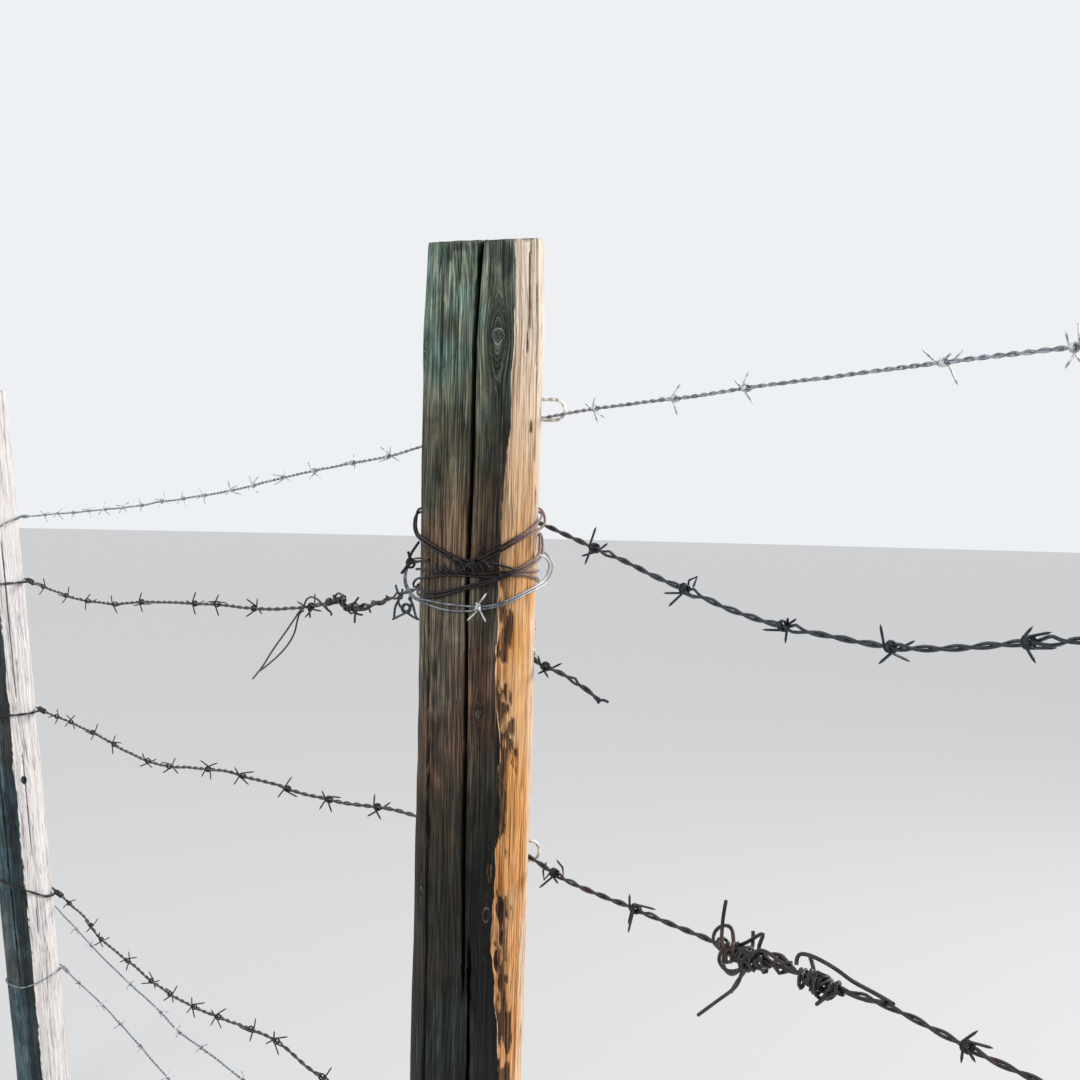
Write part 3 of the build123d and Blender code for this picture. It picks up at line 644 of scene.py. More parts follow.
def crowd_columns(around, z, guides):
    """Draw the columns of faces together along the cracks, given as (path, width, strength)."""
    turn = around.copy()
    for path, width, strength in guides:
        line = path_at(path, z)
        middle = (line.min() + line.max()) / 2
        away = turned(around - middle)
        turn += (line - middle) * np.exp(-(away / math.radians(14)) ** 2)
        turn -= strength * away * np.exp(-(away / math.radians(width)) ** 2)
    return turn


def away_from(spot, turn, z, radius):
    """How far across and up from a spot's middle each point lies, in millimetres."""
    return turned(turn - math.radians(spot.degrees)) * radius * 1000, (z - spot.z) * 1000


def in_sizes(spot, turn, z, radius):
    """How far from a spot's middle each point lies, 1 at the spot's edge."""
    across, up = away_from(spot, turn, z, radius)
    return np.sqrt((across / spot.wide) ** 2 + (up / spot.tall) ** 2)


def flow_round_knots(turn, z, radius, knots):
    """How the grain passes the knots.

    Gives the angle that the grain's lines come from once they part round the knots, the knots
    themselves, and the nested arches over and under each as a height in millimetres and a mask.
    """
    source = turn.copy()
    mask, arch, arched = np.zeros_like(turn), np.zeros_like(turn), np.zeros_like(turn)
    for knot in knots:
        seed = int(1000 * knot.z)
        across, up = away_from(knot, turn, z, radius)
        parted = across ** 2 - (1.3 * knot.wide) ** 2 * np.exp(-(up / (3.4 * knot.tall)) ** 2)
        comes_from = np.where(parted > 0, np.sign(across), 1) * np.sqrt(np.abs(parted))
        source += (comes_from - across) / 1000 / radius * np.exp(-(across / 60) ** 2)
        # A knot narrows towards its foot
        narrow = 1 - 0.42 * np.clip(-up / knot.tall, 0, 1.2)
        inside = np.sqrt((across / knot.wide / narrow) ** 2 + (up / knot.tall) ** 2)
        inside = inside + 0.12 * ripple(turn, z, 96, 0.004, seed)
        mask = np.maximum(mask, np.clip(1.5 - inside, 0, 1.5))
        near = np.exp(-(across / 1.5 / knot.wide) ** 2 - (up / 3.6 / knot.tall) ** 2)
        near = near * between(0.9, 1.25, inside) * (0.7 + 0.6 * ripple(turn, z, 30, 0.02, seed + 1))
        arch = np.where(near > arched, np.abs(up) + 1.3 * np.abs(across) + across ** 2 / knot.wide, arch)
        arched = np.maximum(arched, near)
    return source, mask, arch, arched


def weather_post(post, form, seed, guides, splits, knots, hollows, skin, torn_strip=1.0, stains=(),
                 pale=((0, 60), (1.4, 60))):
    """Move a blank post's points in or out: girth, grain, cracks, knots, hollows, peeled side.

    skin is the two edges of the peeled side, and pale is where its paler part, painted sunlight, starts,
    all three as (height, degrees) paths. torn_strip is how much of the strip past the first edge is torn.
    """
    settings = bpy.context.scene.fence_posts
    co = np.empty(len(post.data.vertices) * 3)
    post.data.vertices.foreach_get("co", co)
    x, y, rise = co.reshape(-1, 3).T
    share = np.hypot(x, y)
    side = share > 0.999
    turn = crowd_columns(np.arctan2(y, x), rise * form.height, guides)

    # The slanted head and its chipped rim
    slant = form.cut * form.radius(form.height)
    top = form.height - slant * np.maximum(np.cos(turn - form.cut_towards), 0)
    top = top - 0.0036 * between(0.1, 0.6, ripple(turn, 0 * turn, 62, 1, seed + 9))
    top = top - 0.0012 * np.maximum(ripple(turn, 0 * turn, 120, 1, seed + 10), 0)
    z = rise * top
    radius = form.radius(z)

    def chance(cells, pitch, number):
        return ripple(turn, z, cells, pitch, seed + number)

    # Uneven girth, ridges of grain and knots
    source, knot, arch, arched = flow_round_knots(turn, z, radius, knots)
    out = 0.0011 * chance(6, 0.31, 0) + 0.0005 * chance(15, 0.12, 1)
    out = out + 0.0004 * chance(26, 0.024, 17)
    ridges = 0.55 * ripple(source, z, 110, 0.11, seed + 2) + 0.45 * ripple(source, z, 58, 0.3, seed + 3)
    out = out + settings.ridge_depth * ridges
    out = out + 0.0009 * between(0.5, 0.62, knot) - 0.0016 * between(0.75, 1.3, knot)

    # The peeled side, where the painted sunlight goes. past and until are how far a point lies inside its
    # edges, in millimetres
    past = turned(turn - path_at(skin[0], z)) * radius * 1000
    past = past + 1.4 * chance(9, 0.022, 4) + 1.1 * chance(34, 0.007, 5)
    until = turned(path_at(skin[1], z) - turn) * radius * 1000 + 2.6 * chance(9, 0.06, 6)
    until = until + 1.4 * chance(30, 0.008, 14)
    peel_and_sunlit = between(-0.7, 0.7, past) * between(-3, 3, until)
    torn = 0.4 + 0.6 * between(-0.2, 0.6, chance(40, 0.035, 7))
    skin_depth = settings.skin_depth * 1000 * np.interp(z, (0, 1.1, 1.2, 1.4), (1, 1, 0.4, 0.3))
    sink = peel_and_sunlit * (0.25 + 0.75 * torn * np.exp(-np.maximum(past, 0) / 6.5)) * skin_depth
    lip = np.exp(-(np.minimum(past + 1.0, 0) / 1.8) ** 2) * (past < 0.5) * 0.25 * skin_depth
    out = out - (sink - lip) / 1000
    # A painted highlight along the first edge, where the proud skin catches the light
    edge = np.exp(-((past - 0.1) / 1.1) ** 2) * between(-0.3, 0.2, chance(30, 0.05, 8))
    edge = edge * np.interp(z, (0, 1.1, 1.2, 1.4), (1, 1, 0.35, 0.3)) * between(-3, 3, until)
    # The paler strip of the peeled side, which faces the key most: painted sunlight
    beyond = np.degrees(turned(turn - path_at(pale, z))) + 7 * chance(40, 0.05, 19)
    sunlit_limb = between(-4, 6, beyond) * (1 - between(70, 95, beyond)) * peel_and_sunlit

    # Painted shade in a dark band beside the first edge, and dark stains in spots
    stain_and_shade = between(-27, -19, past) * (1 - peel_and_sunlit) * np.interp(z, (0.75, 0.95, 1.33, 1.39), (1.3, 1, 1, 0.4))
    for spot in stains:
        far = in_sizes(spot, turn, z, radius) + 0.35 * chance(44, 0.01, 18)
        stain_and_shade = np.maximum(stain_and_shade, 1.3 * (1 - between(0.6, 1.1, far)) * (1 - peel_and_sunlit))

    # Torn patches past the first edge, and torn hollows: sunk, and marked for painted shade
    patchy = chance(52, 0.026, 15) + 0.6 * chance(100, 0.008, 16)
    patchy = between(-0.05, 0.2, patchy + 0.25 - (past / 19) ** 2)
    deep = peel_and_sunlit * patchy * np.interp(z, (1.06, 1.13), (1, 0)) * torn_strip
    out = out - 0.0012 * deep
    for spot in hollows:
        inside = 1 - between(0.75, 1.1, in_sizes(spot, turn, z, radius) + 0.25 * chance(60, 0.006, 11))
        out = out - inside * spot.deep / 1000
        deep = np.maximum(deep, inside)

    # Drying cracks, painted near black inside as their shade, and the worn rim of the head
    dark = np.zeros_like(z)
    for number, split in enumerate(splits):
        fade = path_end_fade(split.path, z)
        wide = at_height(split.across, z) if isinstance(split.across, tuple) else split.across
        half = wide / 2 * (1 + 0.14 * wave(z, 0.03, seed + 20 + number)) * (0.35 + 0.65 * fade)
        centre = path_at(split.path, z) + 0.004 * wave(z, 0.035, seed + 40 + number)
        away = np.abs(turned(turn - centre)) * radius * 1000 / half
        groove = np.clip(1 - away ** 2, 0, 1) ** 0.6 * fade
        out = out - groove * split.deep / 1000
        dark = np.maximum(dark, between(0.05, 0.5, groove))
    out = out - 0.0007 * between(form.height - 0.004, form.height, z) * side

    # The points' places, with radial checks across the sawn head
    reach = form.reach(turn, z, out)
    at = np.stack([form.x + form.lean[0] * z + np.cos(turn) * reach * share,
                   form.lean[1] * z + np.sin(turn) * reach * share, z], -1)
    head, foot = (rise > 0.999) & ~side, rise < 0.001
    level = form.height - slant * np.maximum(np.cos(turn - form.cut_towards) * share, 0)
    checks = np.maximum(ripple(turn, share, 40, 5, seed + 12), 0) ** 2 * between(0.1, 0.5, share)
    at[head, 2] = (level - 0.0012 * checks + 0.0004 * ripple(turn, share, 25, 0.1, seed + 13))[head]
    at[foot, 2] = 0
    post.data.vertices.foreach_set("co", at.ravel())

    # What the timber's material reads
    flow = np.stack([np.cos(source) * radius * share, np.sin(source) * radius * share, z + seed * 0.37], -1)
    made = post.data.attributes.new("grain", "FLOAT_VECTOR", "POINT")
    made.data.foreach_set("vector", flow.astype(np.float32).ravel())
    # The checks across the head are marked for painted shade as well
    dark = np.where(head, np.clip(1.6 * checks, 0, 0.9), dark * side)
    marks = {"arch": arch, "arched": arched, "pale": sunlit_limb, "peel_and_sunlit": peel_and_sunlit, "edge": edge, "stain_and_shade": stain_and_shade,
             "hollow": deep, "split": dark, "knot": knot * side, "rings": share * radius,
             "sawn": (head | foot & ~side) * 1.0}
    for name, values in marks.items():
        made = post.data.attributes.new(name, "FLOAT", "POINT")
        made.data.foreach_set("value", values.astype(np.float32))
    post.data.update()
    select_none()
    post.select_set(True)
    bpy.context.view_layer.objects.active = post
    bpy.ops.object.shade_smooth_by_angle(angle=math.radians(60))


def make_post(node, form, finish, slot, fineness=1.0, **marks):
    """Make the weathered post that stands for a CAD node. marks are what weather_post asks for."""
    settings = bpy.context.scene.fence_posts
    columns = int(settings.columns * fineness)
    rows = int(form.height / settings.row_height * fineness)
    post = blank_post(columns, rows)
    weather_post(post, form, **marks)
    finish_piece(post, node + "_timber", [node], FINISH[finish])


# The main post's cracks and the ragged edge of its peeled side, as (height, degrees) paths
MAIN_SPLIT = ((1.4, -27), (1.388, -28), (1.31, -32.4), (1.21, -32), (1.07, -35), (1.0, -33.3),
              (0.922, -32.8), (0.825, -31.9), (0.768, -30.5), (0.72, -30))
FOOT_SPLIT = ((0.79, -25.2), (0.728, -24), (0.665, -23.4), (0.4, -21), (0, -20))
MAIN_GUIDE = MAIN_SPLIT[:-1] + ((0.73, -26), (0.665, -23.4), (0.4, -21), (0, -20))
LEFT_SPLIT = ((1.19, -80), (1.148, -79.8), (1.078, -79.3), (0.99, -77.3), (0.918, -75.5), (0.84, -73.5),
              (0.70, -73), (0.5, -74))
LEFT_HEAD_SPLIT = ((1.4, -73), (1.341, -68), (1.254, -66.3), (1.15, -66))
RIGHT_SPLIT = ((0.79, 20), (0.72, 21), (0.6, 22), (0.35, 25), (0, 27))
RIGHT_HEAD_SPLIT = ((1.4, 37), (1.33, 38), (1.25, 40), (1.17, 41))
MAIN_SKIN = ((1.39, 6.3), (1.342, 6), (1.311, 4.4), (1.255, 4.1), (1.211, 3.3), (1.167, -1.6),
             (1.115, -3.1), (1.08, -3), (1.036, -3.8), (0.992, -2.5), (0.948, 2), (0.904, 3.3),
             (0.86, 1.4), (0.816, -0.6), (0.772, -1.4), (0.727, 3.2), (0.682, 9.3), (0.657, 11.4),
             (0.4, 7), (0, 4))


class FENCE_OT_main_post(bpy.types.Operator):
    """Make the middle post, with its long crack, knots, torn hollows and peeled side"""
    bl_idname = "fence.main_post"
    bl_label = "Main post"

    def execute(self, context):
        make_post(
            "main_post", MAIN, "timber", "weathered_timber", seed=3,
            guides=((MAIN_GUIDE, 8, 0.70), (((0, -76), (1.4, -77)), 5, 0.55), (MAIN_SKIN, 12, 0.30),
                    (((0, 30), (1.4, 34)), 10, 0.3)),
            splits=(Split(MAIN_SPLIT, ((0.7, 2.7), (0.9, 2.9), (1.06, 3.4), (1.2, 4.0), (1.4, 4.2)), 27),
                    Split(FOOT_SPLIT, 2.6, 20), Split(LEFT_SPLIT, 3.3, 9),
                    Split(LEFT_HEAD_SPLIT, 1.9, 5), Split(RIGHT_SPLIT, 1.8, 5),
                    Split(RIGHT_HEAD_SPLIT, 1.8, 5),
                    Split(((1.4, 28), (1.375, 26), (1.35, 26.5), (1.30, 25)), 2.0, 5),
                    Split(((1.4, 118), (1.1, 122), (0.7, 119), (0.4, 123)), 3.2, 9),
                    Split(((1.2, 205), (0.8, 201), (0.3, 207), (0, 204)), 2.6, 7)),
            knots=(Knot(-10.6, 1.310, 6.0, 7.6), Knot(-98.6, 1.304, 4, 8),
                   Knot(-21.1, 0.980, 2.6, 3.4), Knot(-83.4, 0.817, 2.6, 6), Knot(-8.6, 0.803, 4.0, 7),
                   Knot(70, 1.05, 7, 9), Knot(128, 0.62, 8, 10), Knot(175, 1.18, 6, 8),
                   Knot(215, 0.42, 8, 10), Knot(40, 0.33, 7, 9)),
            hollows=(Hollow(9.4, 1.050, 2.4, 14, 3), Hollow(7.8, 0.999, 2.0, 7, 3),
                     Hollow(-5.5, 0.840, 2.4, 8, 2), Hollow(9.2, 0.793, 2.0, 22, 3),
                     Hollow(5.6, 0.761, 3.0, 12, 3), Hollow(9.7, 0.741, 2.4, 7, 3),
                     Hollow(-98.5, 1.301, 2.0, 6, 3), Hollow(14, 0.56, 2.4, 16, 3),
                     Hollow(23.6, 1.306, 1.5, 8, 2), Hollow(52, 1.303, 1.6, 9, 2),
                     Hollow(31, 1.232, 1.4, 6, 2), Hollow(44, 1.17, 1.5, 10, 2),
                     Hollow(150, 0.9, 3, 18, 3)),
            skin=(MAIN_SKIN, ((0, 168), (0.5, 160), (0.9, 172), (1.4, 158))),
            stains=(Knot(-61, 1.382, 4, 9), Knot(-54, 1.388, 9, 7), Knot(-3, 1.376, 7, 22),
                    Knot(-99, 1.30, 5, 16), Knot(-10.6, 1.31, 9, 12)),
            pale=((1.4, 36), (1.2, 36), (1.1, 46), (0.9, 43), (0.75, 36), (0.65, 34), (0, 35)))
        return {"FINISHED"}


class FENCE_OT_end_posts(bpy.types.Operator):
    """Make the leaning bleached far post and the near post"""
    bl_idname = "fence.end_posts"
    bl_label = "End posts"

    def execute(self, context):
        make_post(
            "far_post", FAR, "bleached", "bleached_timber", 0.8, seed=71,
            guides=((((0, -40), (1.4, -46)), 8, 0.6), (((0, 96), (1.4, 101)), 8, 0.6)),
            splits=(Split(((1.36, -46), (1.0, -44), (0.5, -42), (0.2, -41)), 2.6, 9),
                    Split(((1.36, 101), (0.9, 99), (0.4, 97), (0, 96)), 3.4, 12),
                    Split(((1.1, 10), (0.6, 12), (0.3, 11)), 1.6, 4)),
            knots=(Knot(-60, 1.02, 6, 8), Knot(10, 0.62, 7, 9), Knot(150, 1.1, 6, 8), Knot(230, 0.5, 8, 10)),
            hollows=(Hollow(30, 0.45, 2.4, 14, 2), Hollow(-20, 0.9, 2.0, 10, 2)),
            skin=(((0, -9), (0.57, -9), (0.91, -6), (1.36, -4)), ((0, 158), (0.6, 165), (1.36, 160))),
            torn_strip=0.0)
        make_post(
            "near_post", NEAR, "timber", "weathered_timber", 0.8, seed=137,
            guides=((((0.4, -70), (1.0, -75), (1.4, -66)), 8, 0.7), (((0, 30), (1.4, 26)), 10, 0.45)),
            splits=(Split(((1.4, -66), (1.0, -75), (0.7, -73), (0.4, -70)), 4.6, 19),
                    Split(((0.9, -20), (0.5, -18), (0, -20)), 1.8, 5),
                    Split(((1.4, 150), (0.9, 148), (0.5, 152)), 2.6, 8)),
            knots=(Knot(-40, 1.1, 6, 8), Knot(-110, 0.7, 7, 9), Knot(60, 1.2, 6, 8), Knot(200, 0.9, 7, 9),
                   Knot(0, 0.4, 6, 8)),
            hollows=(Hollow(38, 0.9, 2.4, 16, 3), Hollow(36, 0.55, 2.4, 12, 3)),
            skin=(((0, 28), (0.4, 34), (0.8, 27), (1.2, 32), (1.4, 26)), ((0, 175), (0.7, 168), (1.4, 178))))
        return {"FINISHED"}


# Wires

def groups_along(node, digits, gap):
    """A CAD node's corners in order along the fence, parted wherever there is such a gap."""
    corners = sorted({tuple(round(c, digits) for c in v.co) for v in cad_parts[node].data.vertices})
    groups = [[corners[0]]]
    for corner in corners[1:]:
        if corner[0] - groups[-1][-1][0] > gap:
            groups.append([])
        groups[-1].append(corner)
    return groups


def middle_line(node):
    """The middle of a CAD wire at each of its bends."""
    return [np.mean(group, axis=0) for group in groups_along(node, 5, 0.005)]


def barb_places(node):
    """Where a CAD wire's barbs are along the fence."""
    return [(group[0][0] + group[-1][0]) / 2 for group in groups_along(node, 4, 0.012)]


# A kind of wire: the thickness of its strands and their lay, the thickness of its points and
# their reach, its finishes and its slot
Kind = namedtuple("Kind", "strand lay point reach finish barb_finish slot")


def wire_kind(name):
    """The sizes and finishes of the new, galvanized wire, or of the old or the rusty one."""
    settings = bpy.context.scene.fence_wires
    if name == "new":
        return Kind(settings.new_strand, settings.new_lay, settings.new_strand * 0.9, settings.new_reach,
                    "zinc", "glinting_zinc_barb", "galvanized_wire")
    return Kind(settings.old_strand, settings.old_lay, settings.old_strand * 0.8, settings.old_reach,
                name, name, "old_wire")


def finish_rods(node, lines, finish, ending="wound", sides=6):
    """Make a piece of rods that stands for a CAD node and is named for it."""
    finish_piece(rods(node, lines, sides), f"{node}_{ending}", [node], FINISH[finish])


def wandering(line, seed, amount):
    """Give a line the small kinks of an old wire, none at its ends."""
    along = distances(line)
    _, level, up = square_to(line)
    ease = np.minimum(between(0, 0.08, along), between(0, 0.08, along[-1] - along))
    ways = ((level, 0.07, 1), (up, 0.09, 1), (up, 0.028, 0.4))
    for number, (direction, pitch, share) in enumerate(ways):
        kink = wave(along, pitch, seed + number) * ease * (amount * share)
        line = line + direction * kink[:, None]
    return line


def strands(line, kind, seed, eyes=()):
    """Two twisted strands along a line. Eyes are (place, size) where they stand apart."""
    along = distances(line)
    _, level, up = square_to(line)
    angle = 2 * math.pi * along / kind.lay + 0.5 * wave(along, 0.2, seed)
    gap = 1 + 0.10 * wave(along, 0.05, seed + 1)
    for place, size in eyes:
        gap = gap + size * np.exp(-((along - place) / (kind.lay * 0.16)) ** 2)
    away = (kind.strand / 2 * gap)[:, None]
    offset = (np.cos(angle)[:, None] * level + np.sin(angle)[:, None] * up) * away
    return [line + offset, line - offset]


def chance_tips(kind, seed):
    """Where the four points of an unremarkable barb end, as (side, lift, ahead)."""
    chance = np.random.RandomState(seed)
    first = chance.uniform(0, 2 * math.pi)
    tips = []
    for quarter in (0, 2, 1, 3):
        angle = first + quarter * math.pi / 2 + chance.uniform(-0.4, 0.4)
        reach = kind.reach * chance.uniform(0.82, 1.04)
        tips.append((reach * math.cos(angle), reach * math.sin(angle), chance.uniform(-0.004, 0.004)))
    return tips


def wind_barb(centre, ahead, level, up, kind, tips):
    """Two short wires wound round the strands. Tips are where their four points end, in turn.

    A tip is (side, lift, ahead) from the middle of the barb, or a path of such places.
    """
    away = kind.strand + kind.point / 2
    steps = 18
    lines = []
    for number in range(2):
        paths = [tip if isinstance(tip[0], tuple) else (tip,) for tip in tips[2 * number:2 * number + 2]]
        ends = []
        for path, way in zip(paths, (1, -1)):
            side, lift = path[0][:2]
            ends.append(math.atan2(lift, side) + way * math.acos(min(0.95, away / math.hypot(side, lift))))
        sweep = (ends[1] - ends[0]) % (2 * math.pi) + 2 * math.pi
        angles = ends[0] + sweep * np.linspace(0, 1, steps)
        wide = sweep / (2 * math.pi) * kind.point * 1.15
        shift = (number - 1 + np.linspace(0.06, 0.94, steps)) * wide
        coil = (centre + np.cos(angles)[:, None] * level * away + np.sin(angles)[:, None] * up * away
                + shift[:, None] * ahead)
        spots = []
        for path, root in zip(paths, (coil[0], coil[-1])):
            corners = [centre + level * side + up * lift + ahead * (along + (number - 0.5) * wide)
                       for side, lift, along in path]
            last = corners[-2] if len(corners) > 1 else root
            blunt = corners[-1] + unit(last - corners[-1]) * kind.point * 1.4
            spots.append(corners[:-1] + [blunt, corners[-1]])
        points = spots[0][::-1] + list(coil) + spots[1]
        radius = np.full(len(points), kind.point / 2)
        radius[[0, -1]] *= 0.3
        lines.append((np.array(points), radius))
    return lines


# Points of the barbs that the photograph shows well, by how far along the fence they sit,
# in millimetres
NAMED_TIPS = {
    "top_wire_barbs": {
        115: ((0, 9.8, 0), (2.6, -11.9, 0), (-11.1, 4.2, 0), (9, -8.1, 0)),
        250: ((5.4, 12, 0), (3, -12.8, 0), (-14.9, 1.1, 0), (10.3, 3.8, 0)),
        354: ((3.3, 12.9, 0), (6.9, -11.1, 0), (-10.5, 5, 0), (8, 3, 6)),
        580: ((-15.8, 7.5, 0), (-3, 4.5, 12), (9.8, -13.6, 0), (13, 8.8, 2)),
    },
    "second_right_barbs": {
        121: ((0, 17.9, 0), (-7.1, -15, 0), (-13.2, -6.9, 0), (4.6, 6.7, 12)),
        269: ((-11.5, -14.6, 0), ((4.4, 6.3, 0), (10.2, 9.6, 2), (5.6, 1.2, 5)),
              (-19.1, -3.1, 0), (2, -4.5, 13)),
        408: ((-15.9, -2.8, 0), (3, 6.4, 13), (1.7, -12.5, 0), (-3.5, 7, 9)),
        537: ((-7.7, 14.3, 0), (15.9, -9.9, 0), (-10.5, -10.9, 0), (6.5, 4.5, 15)),
        664: ((4.4, 9.2, 0), (4.9, -12, 0), (2.2, 4.9, 15), (6.4, -4, 14)),
    },
    "third_wire_barbs": {
        57: ((-13.3, -12.9, 0), ((-9, -6, 0), (-10.4, 2, 0), (-7.6, 10.5, 0)),
             ((8.4, -5, 0), (7, 5, 0), (0.5, 12.5, 0)), (3.5, -9.5, 0)),
        207: ((-5.1, 12, 0), (-5.5, -12.6, 0), (15.8, -0.8, 3), (-7.6, -18.3, 0)),
        625: ((8.1, 8.7, 0), (-3.2, -10, 0), (6, 4, 14), (-5, -4, 12)),
    },
}


# How near a barb is to one of those, in millimetres
NAMED_WITHIN = 20


def in_metres(tips):
    """The same tips, or paths, in metres."""
    return [tuple(in_metres(tip)) if isinstance(tip, tuple) else tip / 1000 for tip in tips]


def barbs_along(line, kind, places, seed, named):
    """Barbs at places given as x along the fence, with any named points."""
    ahead, level, up = square_to(line)
    made = []
    for number, x in enumerate(places):
        at = int(np.argmin(np.abs(line[:, 0] - x)))
        tips = chance_tips(kind, seed + number * 7)
        for place, points in named.items():
            if abs(place - x * 1000) < NAMED_WITHIN:
                tips = in_metres(points)
        made += wind_barb(line[at], ahead[at], level[at], up[at], kind, tips)
    return made


# Each wire: its barbs, its kind, its seed, and places along the fence where its strands part
WIRES = {
    "top_wire": ("top_wire_barbs", "new", 210, ()),
    "second_wire_left": ("second_left_barbs", "rusty", 320, ((-0.308, 1.7), (-0.385, 0.5))),
    "second_wire_right": ("second_right_barbs", "old", 430,
                          ((0.14, 0.8), (0.286, 0.7), (0.426, 0.8), (0.69, 1.3))),
    "third_wire": ("third_wire_barbs", "rusty", 540, ((0.08, 0.5), (0.224, 0.5), (0.52, 0.5))),
    "fourth_wire": ("fourth_wire_barbs", "rusty", 650, ()),
    "loose_wire": ("loose_wire_barbs", "new", 760, ()),
    "bottom_wire": ("bottom_wire_barbs", "new", 870, ()),
}


def wire_line(node):
    """The line of a wire: the CAD's, made smooth and given its kinks."""
    _, kind_name, seed, _ = WIRES[node]
    kind = wire_kind(kind_name)
    line = evenly(smooth_line(middle_line(node), 10), kind.lay / 12)
    return wandering(line, seed, kind.strand * 0.35)


class FENCE_OT_wires(bpy.types.Operator):
    """Twist the strands of every wire and wind on its barbs"""
    bl_idname = "fence.wires"
    bl_label = "Wires and barbs"

    def execute(self, context):
        for node, (barb_node, kind_name, seed, parted) in WIRES.items():
            kind = wire_kind(kind_name)
            line = wire_line(node)
            places = barb_places(barb_node)
            chance = np.random.RandomState(seed)
            eyes = [(x - line[0, 0] + kind.lay * 0.3, chance.uniform(0.1, 0.6)) for x in places]
            eyes += [(distances(line)[np.argmin(np.abs(line[:, 0] - x))], size) for x, size in parted]
            pair = [(strand, kind.strand / 2) for strand in strands(line, kind, seed, eyes)]
            finish_rods(node, pair, kind.finish, "strands")
            barbs = barbs_along(line, kind, places, seed, NAMED_TIPS.get(barb_node, {}))
            finish_rods(barb_node, barbs, kind.barb_finish)
        return {"FINISHED"}


# Ties, staples and mends

def on_bark(post, stations, step=0.003):
    """A smooth line round a post near (degrees, height, out) stations, in millimetres."""
    path = smooth_line(stations)
    return evenly(post.beside(path[:, 0], path[:, 1] / 1000, path[:, 2] / 1000), step)


def in_space(points, step=0.0025):
    """A smooth line near (x, y, z) points in millimetres."""
    return evenly(smooth_line(np.array(points) / 1000), step)


def coil(line, low, high, turns, away, seed, loose=0.15):
    """A strand wound round a line from one x to another, so far from its middle."""
    part = line[(line[:, 0] >= low) & (line[:, 0] <= high)]
    part = evenly(part, distances(part)[-1] / (abs(turns) * 14))
    ahead, level, up = square_to(part)
    share = np.linspace(0, 1, len(part))
    angle = 2 * math.pi * (turns * share + 0.8 * loose * wave(share, 0.12, seed)) + seed
    far = away * (1 + loose * wave(share, 0.07, seed + 1))
    slid = 0.009 * loose * wave(share, 0.06, seed + 2)
    return (part + ahead * slid[:, None]
            + (np.cos(angle)[:, None] * level + np.sin(angle)[:, None] * up) * far[:, None])


class FENCE_OT_end_ties(bpy.types.Operator):
    """Take every wire's end once round its end post and wind it back along the wire"""
    bl_idname = "fence.end_ties"
    bl_label = "End ties"

    # Each tie: its left wire, its right wire, and how far it drops behind the post in millimetres
    TIED = (("top", "top_wire", "top_wire", 35), ("second", "second_wire_left", "second_wire_right", 4),
            ("third", "third_wire", "third_wire", 3), ("fourth", "fourth_wire", "fourth_wire", -28),
            ("bottom", "bottom_wire", "bottom_wire", 25))
    # Where a tie runs, as degrees on the far post and its share of the drop
    MARKS = ((91.3, 0), (135, 0.3), (180, 0.6), (225, 0.8), (270, 1), (298, 1), (325, 1), (355, 0.6),
             (378, 0.3), (400, 0), (430, 0))

    def execute(self, context):
        for side, post in ((0, FAR), (1, NEAR)):
            for row in self.TIED:
                node = f"{('far', 'near')[side]}_{row[0]}_tie"
                wire = row[1 + side]
                self.tie(post, node, wire_kind(WIRES[wire][1]), wire_line(wire), row[3], WIRES[wire][2])
        return {"FINISHED"}

    def tie(self, post, node, kind, wire, drop, seed):
        turn, end = (1, wire[0]) if post is FAR else (-1, wire[-1])
        out = kind.strand * 1000 + 0.2
        under = 2 * out
        stations = [(90 + turn * (mark - 90), end[2] * 1000 - drop * share - under * (mark > 300), out)
                    for mark, share in self.MARKS]
        pair = strands(on_bark(post, stations, kind.lay / 14), kind, seed)
        away = kind.strand * 1.55
        lines = []
        for strand, reach, turns in zip(pair, (0.072, 0.048), (5, 2.5)):
            if post is FAR:
                back = coil(wire, end[0] + 0.020, end[0] + reach, turns, away, seed)
            else:
                back = coil(wire, end[0] - reach, end[0] - 0.020, -turns, away, seed)[::-1]
            lines.append((np.concatenate([strand, back]), kind.strand / 2))
        finish_rods(node, lines, kind.finish)


